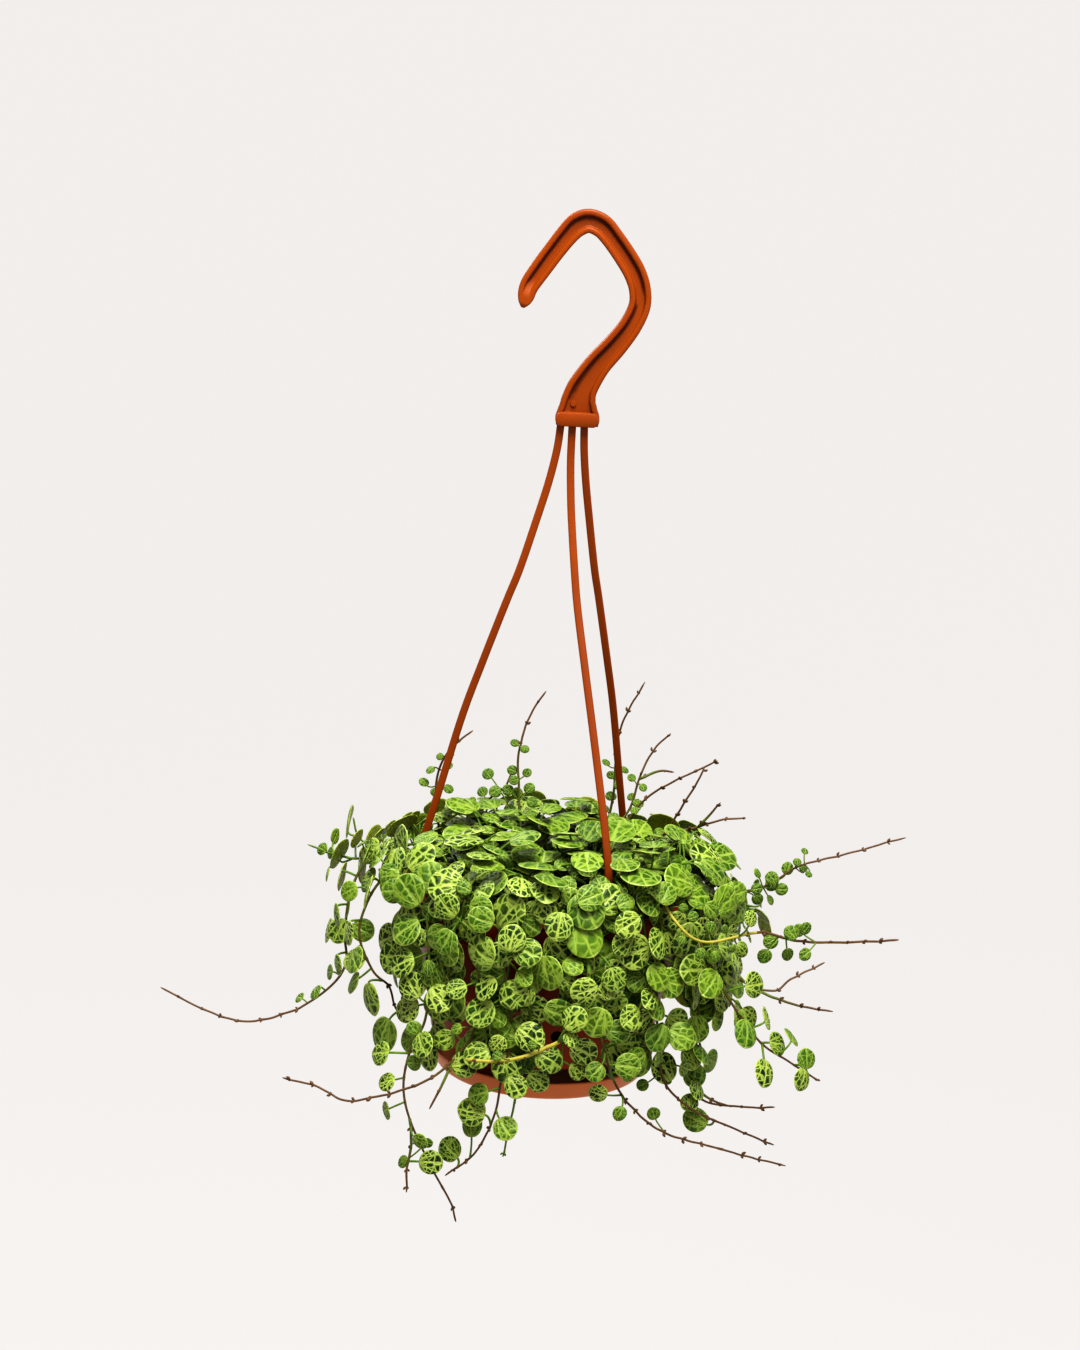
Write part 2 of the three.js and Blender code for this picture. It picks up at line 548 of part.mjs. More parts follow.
function outwardAt(point) {
  const radius = Math.hypot(point.x, point.y);
  const share = THREE.MathUtils.smoothstep(radius, 38, 60) * THREE.MathUtils.smoothstep(104 - point.z, 8, 30);
  const radial = radius > 1 ? vec(point.x / radius, point.y / radius, 0) : vec(1, 0, 0);
  return radial.multiplyScalar(share).addScaledVector(UP, 1 - 0.8 * share).normalize();
}

function leafTrial(run, node, side, size, draw) {
  const { point, along } = node;
  const outward = outwardAt(point);
  outward.addScaledVector(along, -outward.dot(along));
  if (outward.length() < 0.2) outward.copy(vec(0.3, 0.2, 1)).addScaledVector(along, -along.z);
  outward.normalize();
  const across = along.clone().cross(outward).multiplyScalar(side);
  const lean = 0.35 + 1.5 * draw();
  const ahead = 0.1 + 0.5 * draw();
  const stalk = across.clone().addScaledVector(outward, lean).addScaledVector(along, ahead).normalize();
  const petiole = run.petiole * (0.7 + 1.5 * draw());
  const joint = point.clone().addScaledVector(stalk, petiole + run.girth * 0.5);
  const facing = outwardAt(joint).multiplyScalar(1.1);
  facing.add(vec(draw() - 0.5, draw() - 0.5, draw() - 0.3).multiplyScalar(1.1)).addScaledVector(outward, 0.3);
  facing.normalize();
  const forward = across.clone().addScaledVector(along, 0.5 * draw()).addScaledVector(stalk, 0.5);
  forward.z -= 0.35;
  forward.addScaledVector(facing, -forward.dot(facing)).normalize();
  const radius = size * (0.88 + 0.24 * draw());
  const middle = joint.clone().addScaledVector(forward, radius * 0.96);
  return { root: point, joint, middle, facing, forward, radius, stalk };
}

function leafIsClear(leaf, run, taken, stem) {
  const blade = disc(leaf.middle, leaf.facing, leaf.radius * 1.03, stem);
  const petiole = rod(leaf.root.clone().addScaledVector(leaf.stalk, run.girth), leaf.joint, 0.55, stem);
  for (const other of taken) {
    const own = other.stem === stem;
    if (own && !other.facing) continue;
    if (clash(blade, other, own ? 0 : 0.35)) return null;
    if (!own && clash(petiole, other, 0.35)) return null;
  }
  const across = leaf.facing.clone().cross(leaf.forward);
  for (let i = 0; i < 8; i += 1) {
    const angle = i * Math.PI / 4;
    const edge = leaf.middle.clone().addScaledVector(leaf.forward, leaf.radius * Math.cos(angle));
    edge.addScaledVector(across, leaf.radius * Math.sin(angle));
    if (insideHolder(edge, 1)) return null;
  }
  if (insideHolder(leaf.middle, 1.2) || insideHolder(leaf.joint, 0.8)) return null;
  return [blade, petiole];
}

function growLeaves(run, taken, stem, draw) {
  const spine = run.spine;
  let distance = run.first * spine.total;
  let side = draw() < 0.5 ? 1 : -1;
  while (distance < run.leafy * spine.total - 1) {
    const share = (distance / spine.total - run.first) / (run.leafy - run.first);
    const size = run.large + (run.small - run.large) * share * share;
    for (let attempt = 0; attempt < LEAF_TRIES; attempt += 1) {
      const turned = attempt % 4 < 3 ? side : -side;
      const leaf = leafTrial(run, spine.at(distance), turned, size * 0.975 ** attempt, draw);
      if (settleLeaf(leaf, run, taken, stem)) break;
    }
    side = -side;
    distance += run.spacing * (0.55 + 0.45 * size / run.large) * (0.85 + 0.3 * draw());
  }
}

function settleLeaf(leaf, run, taken, stem) {
  const bodies = leafIsClear(leaf, run, taken, stem);
  if (bodies) {
    run.leaves.push(leaf);
    taken.push(...bodies);
  }
  return bodies;
}

// Whether another blade lies right over or under the place.
function stacked(place, facing, radius, taken, spread) {
  return taken.some((body) => {
    if (!body.facing) return false;
    const offset = body.middle.clone().sub(place);
    const depth = offset.dot(facing);
    const reach = spread * (radius + body.bound);
    return Math.abs(depth) < STACK_DEPTH && offset.lengthSq() - depth * depth < reach * reach;
  });
}

// A vector laid flat in the plane that the unit vector faces.
function laidFlat(way, facing) {
  return way.addScaledVector(facing, -way.dot(facing)).normalize();
}

// Leaves held out from the crown's and curtain's stems wherever the blades leave a gap.
function cover(plan, taken, { start, tries, wanted, sizes: [large, small], spread, heights: [low, high] }) {
  const draw = seeded(start);
  const turn = (rise) => vec(draw() - 0.5, draw() - 0.5, draw() - rise);
  const [shortest, longest] = STALK_LENGTHS;
  const roots = [];
  for (const { name, runs: [run] } of plan.filter((stem) => COVER_KINDS.includes(stem.runs[0].kind))) {
    for (const mark of run.spine.marks) {
      if (mark.z > low && mark.z < high && insideHolder(mark, COVER_REACH)) roots.push({ mark, name, run });
    }
  }
  let made = 0;
  for (let i = 0; i < tries && made < wanted; i += 1) {
    const { mark, name, run } = roots[Math.floor(draw() * roots.length)];
    const radius = small + (large - small) * draw();
    const facing = outwardAt(mark).addScaledVector(turn(0.4), 0.9).normalize();
    const way = laidFlat(turn(0.6), facing);
    const aside = 2 + 9 * draw();
    const lift = 2.2 + 6 * draw();
    const middle = mark.clone().addScaledVector(facing, lift).addScaledVector(way, aside);
    const forward = laidFlat(way.clone().addScaledVector(turn(0.7), 1.2), facing);
    const joint = middle.clone().addScaledVector(forward, -0.96 * radius);
    const reach = joint.distanceTo(mark);
    const stalk = joint.clone().sub(mark).normalize();
    const leaf = { root: mark, joint, middle, facing, forward, radius, stalk };
    const fits = reach > shortest && reach < longest && !stacked(middle, facing, radius, taken, spread);
    if (fits && settleLeaf(leaf, run, taken, name)) made += 1;
  }
}

function runOf(kind, leafy, points, girth) {
  return { kind, leafy, ...KINDS[kind], points, girth, spine: spineOf(points), leaves: [] };
}

function stemPoints({ root, route }) {
  const [x, y] = root;
  return [vec(x, y, ROOT_DEPTH), vec(x, y, ROOT_TOP), ...route.map((place) => vec(...place))];
}

function stemIsClear(spine, girth, taken) {
  for (const mark of spine.marks) {
    if (mark.z > 67 && insideHolder(mark, girth + 0.9)) return false;
    if (mark.z <= 67 && Math.hypot(mark.x, mark.y) > 52 && insideHolder(mark, girth + 0.9)) return false;
  }
  const rods = rodsOf(spine, girth, '');
  return !rods.some((mine) => taken.some((other) => clash(mine, other, 0.6)));
}

function plantPlan() {
  const taken = [];
  CLIP_AZIMUTHS.forEach((azimuth, index) => {
    const points = strandPoints(index);
    for (let i = 1; i < points.length; i += 1) taken.push(rod(points[i - 1], points[i], 1.9, 'hanger'));
    const [low, high] = [66, 71].map((height) => vec(...polar(azimuth, CLIP_RADIUS, height)));
    taken.push(rod(low, high, 3.4, 'hanger'));
  });
  const plan = [];
  const settle = (spec) => {
    const girth = spec.kind === 'wisp' ? WISP_GIRTH : STEM_GIRTH;
    const runs = [runOf(spec.kind, spec.leafy, stemPoints(spec), girth)];
    if (spec.branch) {
      runs.push(runOf(spec.branch.kind, 0, spec.branch.route.map((place) => vec(...place)), WISP_GIRTH));
    }
    for (const run of runs) taken.push(...rodsOf(run.spine, run.girth, spec.name));
    plan.push({ name: spec.name, root: spec.root, runs });
  };
  const settleByRule = (make, row, index) => {
    for (let tries = 0; tries < 60; tries += 1) {
      const spec = make(row, index, tries);
      if (stemIsClear(spineOf(stemPoints(spec)), STEM_GIRTH, taken)) {
        settle(spec);
        return;
      }
    }
    console.warn('no room for', make(row, index, 0).name);
  };
  FEATURE_STEMS.forEach(settle);
  CROWN_STEMS.forEach((row, index) => settleByRule(crownStem, row, index));
  CURTAIN_STEMS.forEach((row, index) => settleByRule(curtainStem, row, index));
  cover(plan, taken, RIM_COVER);
  plan.forEach((stem, index) => {
    const draw = seeded(70 + 31 * index);
    stem.runs.forEach((run) => growLeaves(run, taken, stem.name, draw));
  });
  cover(plan, taken, GAP_COVER);
  return plan;
}

// A blade with its petiole: a low cone over a round outline, and below it a keel that runs into the
// three-sided stalk.
function leafGeometry(leaf, root, girth) {
  const { joint, middle, facing, forward, radius } = leaf;
  const across = facing.clone().cross(forward);
  const sides = radius > 7.2 ? 6 : 5;
  const half = Math.min(PETIOLE_HALF_WIDTH, radius * 0.3);
  const rise = LEAF_THICKNESS * Math.min(0.65, 0.3 + radius / 16);
  const ring = [joint.clone().addScaledVector(across, -half)];
  for (let i = 1; i < sides - 1; i += 1) {
    const angle = Math.PI - 2 * Math.PI * i / (sides - 1);
    const place = middle.clone().addScaledVector(forward, radius * Math.cos(angle));
    ring.push(place.addScaledVector(across, -radius * Math.sin(angle)));
  }
  ring.push(joint.clone().addScaledVector(across, half));
  const top = middle.clone().addScaledVector(facing, rise);
  const keel = joint.clone().addScaledVector(facing, -0.8).addScaledVector(forward, 0.3);
  const stalk = joint.clone().sub(root).normalize();
  const foot = across.clone().addScaledVector(stalk, -across.dot(stalk)).normalize();
  const under = foot.clone().cross(stalk).normalize();
  const reach = Math.min(half, girth * 0.5);
  const feet = [
    root.clone().addScaledVector(foot, -reach),
    root.clone().addScaledVector(foot, reach),
    root.clone().addScaledVector(under, 0.5 * girth),
  ];
  const points = [...ring, top, keel, ...feet];
  const [apex, keelAt] = [sides, sides + 1];
  const [leftFoot, rightFoot, underFoot] = [sides + 2, sides + 3, sides + 4];
  const last = sides - 1;
  const faces = [];
  for (let i = 0; i < last; i += 1) {
    faces.push(i, i + 1, apex, i + 1, i, keelAt);
  }
  faces.push(last, 0, apex);
  faces.push(0, last, rightFoot, 0, rightFoot, leftFoot);
  faces.push(keelAt, 0, leftFoot, keelAt, leftFoot, underFoot);
  faces.push(last, keelAt, underFoot, last, underFoot, rightFoot);
  faces.push(leftFoot, rightFoot, underFoot);
  const geometry = new THREE.BufferGeometry();
  geometry.setAttribute('position', new THREE.Float32BufferAttribute(points.flatMap((p) => p.toArray()), 3));
  geometry.setIndex(faces);
  return geometry;
}

function triangle(girth) {
  const corners = [0, 1, 2].map((i) => 2 * Math.PI * i / 3);
  return new THREE.Shape(corners.map((a) => new THREE.Vector2(girth * Math.cos(a), girth * Math.sin(a))));
}

// The tube of a run in few steps. A branch starts a little way inside the stem that carries it.
function stemTube(run, branch) {
  const steps = Math.max(4, Math.round(run.spine.total / 13));
  let path = run.spine.curve;
  if (branch) {
    const [first, second, ...others] = run.points;
    const sunk = first.clone().lerp(second, -1.2 / first.distanceTo(second));
    path = new THREE.CatmullRomCurve3([sunk, second, ...others], false, 'catmullrom', 0.5);
  }
  const along = { steps, extrudePath: path, bevelEnabled: false };
  const geometry = new THREE.ExtrudeGeometry(triangle(run.girth), along);
  return { geometry, stations: path.getSpacedPoints(steps) };
}

function nearestOnTube(stations, point) {
  let best = stations[0];
  for (let i = 1; i < stations.length; i += 1) {
    const place = nearest(rod(stations[i - 1], stations[i], 0, ''), point);
    if (place.distanceTo(point) < best.distanceTo(point)) best = place;
  }
  return best;
}

function stemSolid(stem) {
  let body = null;
  stem.runs.forEach((run, index) => {
    const { geometry, stations } = stemTube(run, index > 0);
    body = body ? body.add(solid(geometry)) : solid(geometry);
    for (const leaf of run.leaves) {
      const root = nearestOnTube(stations, leaf.root);
      body = body.add(solid(leafGeometry(leaf, root, run.girth)));
    }
  });
  return body;
}

function soilSolid(plan) {
  const baseTop = BASE_HEIGHT + BASE_THICKNESS;
  const edge = (z) => innerWallRadius(z) - GAP - 0.1;
  let soil = lathe([
    [0, baseTop + GAP],
    [BASE_RADIUS - 1.2, baseTop + GAP],
    [edge(baseTop + 1.6), baseTop + 1.6],
    [edge(STEP_HEIGHT - 1), STEP_HEIGHT + 0.2],
    [edge(STEP_HEIGHT + 1.5), STEP_HEIGHT + 2.1],
    [edge(SOIL_EDGE_HEIGHT), SOIL_EDGE_HEIGHT],
    [36, SOIL_TOP_HEIGHT - 1.6],
    [0, SOIL_TOP_HEIGHT],
  ], ROUND_SEGMENTS / 2);
  for (const azimuth of POST_AZIMUTHS) {
    const pocket = box(4.6, POST_WIDTH + 0.8, 8, POST_RADIUS + 0.8, 0, baseTop - 0.9);
    soil = soil.subtract(solid(turned(pocket, azimuth)));
  }
  for (const { root: [x, y] } of plan) {
    const bottom = ROOT_DEPTH - GAP;
    const path = new THREE.LineCurve3(vec(x, y, bottom), vec(x, y, bottom + ROOT_HOLE_DEPTH));
    const along = { steps: 1, extrudePath: path, bevelEnabled: false };
    soil = soil.subtract(solid(new THREE.ExtrudeGeometry(triangle(ROOT_HOLE_GIRTH), along)));
  }
  return soil;
}

const plastic = new THREE.MeshStandardMaterial({ color: 0xb5491d, roughness: 0.5, metalness: 0 });
const earth = new THREE.MeshStandardMaterial({ color: 0x2b1c12, roughness: 0.95, metalness: 0 });
const green = new THREE.MeshStandardMaterial({ color: 0x5b8f2c, roughness: 0.45, metalness: 0 });

function piece(name, manifold, material) {
  const mesh = new THREE.Mesh(geometryOf(manifold), material);
  mesh.name = name;
  return mesh;
}

const plan = plantPlan();
const holder = new THREE.Group();
holder.add(piece('hanger', hangerSolid(), plastic));
holder.add(piece('pot', potSolid(), plastic));
holder.add(piece('saucer', saucerSolid(), plastic));
holder.add(piece('soil', soilSolid(plan), earth));

const plant = new THREE.Group();
for (const stem of plan) plant.add(piece(stem.name, stemSolid(stem), green));

const whole = new THREE.Group();
whole.add(holder, plant);
whole.position.z = -HANG_HEIGHT;
export default whole;
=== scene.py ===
import math

import bpy
import numpy as np
from mathutils import Matrix, Vector
from mathutils import noise as waves


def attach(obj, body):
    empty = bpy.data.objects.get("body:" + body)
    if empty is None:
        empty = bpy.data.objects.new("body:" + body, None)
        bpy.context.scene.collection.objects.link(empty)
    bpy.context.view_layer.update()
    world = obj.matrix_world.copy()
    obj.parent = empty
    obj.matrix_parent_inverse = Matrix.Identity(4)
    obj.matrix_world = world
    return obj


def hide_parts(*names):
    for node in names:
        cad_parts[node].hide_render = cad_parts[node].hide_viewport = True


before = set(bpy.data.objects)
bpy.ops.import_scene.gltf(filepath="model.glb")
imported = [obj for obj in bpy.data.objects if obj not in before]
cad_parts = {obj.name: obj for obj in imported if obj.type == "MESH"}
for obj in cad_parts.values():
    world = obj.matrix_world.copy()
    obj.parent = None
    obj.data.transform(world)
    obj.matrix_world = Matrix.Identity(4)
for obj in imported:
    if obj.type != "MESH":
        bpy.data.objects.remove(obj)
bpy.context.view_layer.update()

# Places and sizes are in millimetres and count upwards from the plane of the saucer's rim, on the
# pot's axis. The frame's origin is the hook's bearing point, this far above that plane.
HANG_HEIGHT = 330
MM = 0.001

# Driving sizes of the holder
RIM_RADIUS = 60
RIM_TOP = 68.2
RIM_BOTTOM = 57
LEDGE_THICKNESS = 1.8
WALL = 1.2
STEP_HEIGHT = 30
STEP_RADIUS = 50.6
STEP_DEPTH = 1.6
BASE_RADIUS = 43.5
BASE_HEIGHT = 5
BASE_THICKNESS = 1.6
CLIP_RADIUS = 56.4
CLIP_AZIMUTHS = (175.5, -64.5, 55.5)
CLIP_WIDTH = 3.2
CLIP_THICKNESS = 2.2
POST_RADIUS = 30
POST_WIDTH = 8
POST_AZIMUTHS = (45, 135, 225, 315)
DRAIN_RADIUS = 3.4
DRAIN_RING = 17
DRAIN_COUNT = 6
SIDE_DRAIN_RADIUS = 2.6
SIDE_DRAIN_HEIGHT = 20.5
SIDE_DRAIN_AZIMUTHS = (7, 97, 187, 277)
SAUCER_RADIUS = 46.7
SAUCER_FLOOR_RADIUS = 42
SAUCER_DEPTH = 8
SAUCER_FLOOR = 1.9
SOIL_EDGE_HEIGHT = 60.5
SOIL_TOP_HEIGHT = 65
GAP = 0.3

# The hook's centreline with the half width of the bar at each point
HOOK_LINE = (
    (0, 255.8, 8.2), (0, 259, 8.6), (0, 262.5, 7.5), (0.2, 266, 6.6), (1.6, 271, 5.8), (6.6, 279.6, 5),
    (13.2, 287.8, 4.6), (18.4, 295.5, 4.3), (21.4, 303, 4.2), (21.2, 309.4, 4.2), (18.9, 315.6, 4.3),
    (14.8, 321.8, 4.3), (9.4, 328.6, 4.3), (5.2, 332.8, 4.5), (0.2, 334.5, 4.5), (-4.2, 332.9, 4.6),
    (-7.6, 329.4, 4.3), (-12, 323.4, 4.1), (-17.5, 315.2, 4), (-21.4, 308.8, 3.7), (-22.7, 303.8, 3),
    (-23.6, 300.2, 1),
)
HOOK_THICKNESS = 6.4
HOOK_RECESS = 1.9
HOOK_RIM = 2.2
HOOK_MARK = (-1.9, -2.1, 264.3)
HOOK_STATIONS = 150
FLANGE_HALF_WIDTH = 9
FLANGE_BOTTOM = 255.4
FLANGE_TOP = 261
FLANGE_THICKNESS = 8.4
STRAND_TOPS = (-6.2, -1.8, 2.8)
STRAND_WIDTH = 3
STRAND_THICKNESS = 2
STRAND_STEPS = 90
SIDE_FALL = (
    (0, 257), (0.02, 246), (0.07, 233), (0.15, 217.5), (0.26, 197.5), (0.353, 183.9), (0.513, 159.4),
    (0.661, 135.5), (0.83, 101.5), (0.95, 78.5), (1, 69.4),
)
FRONT_FALL = (
    (0, 257), (0.005, 243), (0.03, 231), (0.07, 219), (0.16, 199), (0.24, 184.5), (0.4, 162.5),
    (0.6, 135.5), (0.84, 101.5), (0.955, 78.5), (1, 69.4),
)
STRAND_FALLS = (SIDE_FALL, FRONT_FALL, SIDE_FALL)

# Driving sizes of the plant
STEM_GIRTH = 1
WISP_GIRTH = 0.75
ROOT_DEPTH = 57
ROOT_TOP = 67.5
SPINE_SAMPLES = 96
STEM_SIDES = 7
STEM_STEP = 1.4
STEM_TRIES = 60
LEAF_TRIES = 18
PETIOLE_HALF_WIDTH = 0.55
CLEARANCE = 0.35
# Half widths that keep the plant off the strands and clips, and the heights of the clips
STRAND_KEEP = 1.9
CLIP_KEEP = 3.4
CLIP_LOW = 66
CLIP_HIGH = 71
# Rounds of the search for two bodies' nearest points, and the move at which it has settled
NEAREST_ROUNDS = 14
SETTLED = 1e-10
# Radii of what lies over the soil and outside the upper and the lower wall, the height from which a
# stem has to be clear of the holder, and the radius at which the curtain's stems start to fall
SOIL_REACH = 52
UPPER_WALL_REACH = 54.4
LOWER_WALL_REACH = 49.4
CLEAR_FROM = 67
FALL_RADIUS = 66
FRONT = (0, -1, 0)
# How far a blade's middle is from its joint, in radii
BLADE_REACH = 0.96
# Where each job's row of random numbers starts, and what each stem and each try adds to that
SEEDS = {
    "curtain": (1000, 77, 13), "crown": (5000, 91, 17), "leaves": (70, 31, 0), "looks": (9000, 57, 0),
    "growth": (20000, 37, 0), "pairs": (31000, 43, 0), "singles": (611, 0, 0),
}

# A kind of stem gives its leaves: where the first is, as a share of the length, the spacing, the leaf
# radius at the first leaf and at the last, and the petiole's length.
KINDS = {
    "crown": (0.14, 9.5, 8, 6.6, 4.4),
    "curtain": (0.2, 9, 7.2, 5.4, 4.2),
    "back": (0.2, 15, 7.6, 5.4, 4),
    "dense": (0.24, 8.6, 5.2, 3.4, 3.2),
    "column": (0.16, 10, 6.8, 4.6, 3.8),
    "trailing": (0.14, 12, 6.6, 2.6, 3.4),
    "wisp": (0.2, 15, 2.8, 1.8, 2),
    "bare": (0.5, 18, 2, 1.5, 1.8),
}

# Leaves that cover the gaps: the kinds of stem that carry them, how far from the pot and how low, the
# limits of their petioles, and the two rounds: seed, tries, leaves wanted, radii, spread and heights.
COVER_KINDS = ("crown", "curtain", "back", "column", "dense")
COVER_REACH = 26
COVER_LOW = 4
SHORTEST_STALK = 1.5
COVER_STALK = 11
LONGEST_STALK = 13
RIM_COVER = (55, 6000, 50, (8.4, 7), 0.55, (60, 84))
GAP_COVER = (83, 6000, 32, (7.8, 5.6), 0.5, (4, 200))
# How often a leaf is tried, and from how many of the nearest marks its carrier is picked
SHINGLE_TRIES = 4
SHINGLE_CHOICE = 10
SINGLE_TRIES = 60
SINGLE_CHOICE = 16
SIDE_TRIES = 8

# Stems seen clearly one by one: name, kind, share of the length with leaves, root in the soil, route and
# branch. A branch carries no leaves.
FEATURE_STEMS = (
    ("stem_left_long", "trailing", 0.7, (-22, 3),
     ((-34, 1, 76), (-56, -1, 79), (-72, -3, 77), (-80, -6, 64), (-82, -9, 46), (-81, -10, 33),
      (-87, -12, 23), (-101, -14, 13), (-119, -14, 7), (-137, -12, 10), (-156, -10, 18)), None),
    ("stem_left_loop", "column", 0.84, (-26, -10),
     ((-40, -14, 78), (-57, -19, 78), (-66, -22, 74), (-72, -24, 65), (-75, -26, 51), (-69, -28, 37),
      (-62, -30, 31), (-58, -32, 22), (-51, -37, 24)), None),
    ("stem_left_spray", "dense", 0.9, (-34, 14),
     ((-46, 14, 77), (-60, 14, 77), (-74, 14, 71), (-85, 12, 71), (-100, 10, 76)), None),
    ("stem_left_short", "dense", 0.66, (-30, 24),
     ((-42, 24, 76), (-56, 25, 75), (-69, 26, 69), (-76, 26, 72), (-81, 26, 77), (-83, 26, 84)), None),
    ("stem_front_left_long", "trailing", 0.86, (-18, -22),
     ((-28, -32, 79), (-41, -45, 78), (-47, -50, 72), (-46, -56, 59), (-45, -57, 43), (-46, -58, 28),
      (-51, -59, 16), (-53, -60, 2), (-50, -60, -12), (-41, -58, -32), (-33, -56, -47), (-30, -54, -57)),
     ("bare", ((-50, -60, -12), (-49, -61, -22), (-50, -62, -33), (-50, -62, -42)))),
    ("stem_front_left_reach", "trailing", 0.52, (-14, -34),
     ((-24, -42, 78), (-32, -52, 77), (-33, -60, 71), (-27, -64, 56), (-25, -66, 37), (-29, -68, 23),
      (-39, -70, 12), (-52, -69, 4), (-74, -62, -5), (-87, -57, -2), (-101, -52, -1)),
     ("bare", ((-34, -69, 16), (-38, -72, 7), (-42, -73, -2)))),
    ("stem_front_curl", "column", 0.82, (-8, -24),
     ((-13, -40, 80), (-18, -55, 77), (-19, -64, 69), (-16, -69, 54), (-12, -70, 31), (-15, -72, 11),
      (-17, -71, -4), (-24, -67, -22), (-35, -62, -34)), None),
    ("stem_front_drop", "curtain", 0.76, (-2, -34),
     ((-4, -46, 79), (-6, -58, 76), (-6, -65, 67), (-5, -67, 48), (-6, -69, 22), (-9, -69, 4),
      (-11, -67, -12), (-13, -66, -23)), None),
    ("stem_front_cross", "bare", 0, (8, -28),
     ((10, -42, 80), (12, -58, 76), (14, -66, 67), (16, -74, 51), (9, -79, 34), (-1, -80, 27),
      (-15, -80, 22), (-29, -78, 21)), None),
    ("stem_right_low", "trailing", 0.58, (12, -38),
     ((16, -48, 78), (18, -58, 75), (19, -64, 66), (18, -66, 49), (23, -67, 27), (31, -64, 6),
      (48, -55, -13), (73, -44, -24), (101, -34, -34)), None),
    ("stem_right_low_mid", "trailing", 0.66, (26, -28),
     ((34, -38, 79), (41, -46, 75), (44, -50, 66), (43, -51, 47), (45, -50, 26), (49, -48, 5),
      (61, -44, -8), (79, -37, -18), (96, -30, -27)), None),
    ("stem_right_column", "column", 0.74, (30, -18),
     ((42, -25, 79), (52, -30, 76), (58, -33, 66), (60, -34, 44), (62, -34, 21), (60, -34, 4),
      (66, -31, -9), (82, -26, -13), (96, -22, -14)),
     ("bare", ((60, -34, 2), (67, -38, -5), (77, -39, -8)))),
    ("stem_right_big", "column", 0.93, (22, -20),
     ((36, -33, 83), (48, -43, 78), (58, -48, 65), (70, -50, 44), (85, -45, 23), (98, -40, 13),
      (111, -36, 4)), None),
    ("stem_right_hook", "trailing", 0.66, (32, -4),
     ((44, -7, 80), (56, -10, 77), (65, -12, 65), (71, -14, 48), (81, -16, 36), (93, -14, 33),
      (100, -12, 38), (113, -8, 44)),
     ("bare", ((82, -16, 36), (92, -20, 32), (103, -22, 30), (116, -24, 29)))),
    ("stem_right_yellow", "wisp", 0.62, (20, -10),
     ((30, -24, 86), (40, -42, 84), (48, -55, 74), (60, -56, 66), (82, -47, 68), (99, -40, 63),
      (120, -34, 62), (139, -28, 62)), None),
    ("stem_right_pairs", "wisp", 0.72, (36, 8),
     ((48, 8, 80), (60, 6, 76), (70, 4, 70), (80, 2, 69), (90, 0, 74), (101, 0, 82), (121, 2, 88),
      (143, 4, 95)), None),
    ("stem_up_right_a", "wisp", 0.55, (24, 26),
     ((28, 28, 82), (36, 30, 96), (47, 26, 106), (66, 22, 118)), None),
    ("stem_up_right_b", "wisp", 0.5, (34, 18),
     ((40, 17, 80), (47, 14, 90), (55, 10, 107), (60, 8, 118)), None),
    ("stem_up_right_c", "wisp", 0.7, (22, 36),
     ((25, 35, 80), (32, 37, 92), (35, 39, 104), (40, 41, 116), (47, 40, 124)),
     ("bare", ((35, 39, 104), (43, 38, 108), (49, 34, 109)))),
    ("stem_up_right_d", "wisp", 0.5, (38, 24),
     ((43, 24, 77), (50, 22, 86), (60, 20, 90), (69, 18, 94), (78, 16, 96)),
     ("bare", ((60, 20, 90), (64, 18, 96), (68, 16, 102)))),
    ("stem_up_mid", "wisp", 0.72, (-10, 18),
     ((-12, 20, 80), (-14, 22, 90), (-15, 24, 102), (-16, 26, 112), (-15, 28, 121), (-11, 30, 133),
      (-6, 32, 141)), None),
    ("stem_up_left", "wisp", 0.85, (-30, 30),
     ((-31, 30, 80), (-30, 30, 89), (-26, 31, 95), (-21, 32, 99), (-18, 34, 106)), None),
    ("stem_up_back", "wisp", 0.6, (20, 46),
     ((23, 49, 80), (25, 50, 94), (25, 50, 106), (25, 50, 116), (28, 48, 129), (35, 46, 144)), None),
    ("stem_up_strand", "wisp", 0.8, (-42, 22),
     ((-46, 22, 78), (-48, 20, 90), (-49, 19, 102), (-47, 18, 112), (-42, 18, 120), (-35, 18, 126)), None),
)

# Stems that fill the rest by rule: azimuth at the rim, how far out and how low they hang, and kind.
CURTAIN_STEMS = (
    (-145, 62, 26, "curtain"), (-128, 64, 12, "curtain"), (-103, 66, 24, "curtain"),
    (-89, 68, 48, "curtain"), (-84, 67, 14, "curtain"), (-66, 68, 36, "curtain"), (-60, 69, 14, "curtain"),
    (-38, 72, 36, "dense"), (-21, 76, 30, "dense"),
    (14, 86, 46, "dense"), (25, 74, 30, "dense"), (40, 70, 8, "back"), (74, 68, -6, "back"),
    (110, 68, 22, "back"), (125, 67, 4, "back"),
)

# Short stems that stay over the soil: azimuth and radius where they start and end, and the height.
CROWN_STEMS = (
    (-100, 20, 34, 84), (-30, 14, 40, 86), (30, 12, 44, 85), (95, 18, 46, 84), (150, 16, 42, 85),
    (-150, 18, 44, 84), (-70, 8, 30, 90), (110, 6, 26, 91), (-140, 26, 52, 88), (-96, 28, 54, 88),
)


# Small vector arithmetic on tuples, in double precision
def add(a, b, times=1.0):
    return (a[0] + b[0] * times, a[1] + b[1] * times, a[2] + b[2] * times)


def times(a, factor):
    return (a[0] * factor, a[1] * factor, a[2] * factor)


def dot(a, b):
    return a[0] * b[0] + a[1] * b[1] + a[2] * b[2]


def cross(a, b):
    return (a[1] * b[2] - a[2] * b[1], a[2] * b[0] - a[0] * b[2], a[0] * b[1] - a[1] * b[0])


def size_of(a):
    return math.sqrt(dot(a, a))


def unit(a):
    length = size_of(a)
    return times(a, 1 / length) if length else a


def apart(a, b):
    return size_of(add(a, b, -1))


def mix(a, b, share):
    return add(a, add(b, a, -1), share)


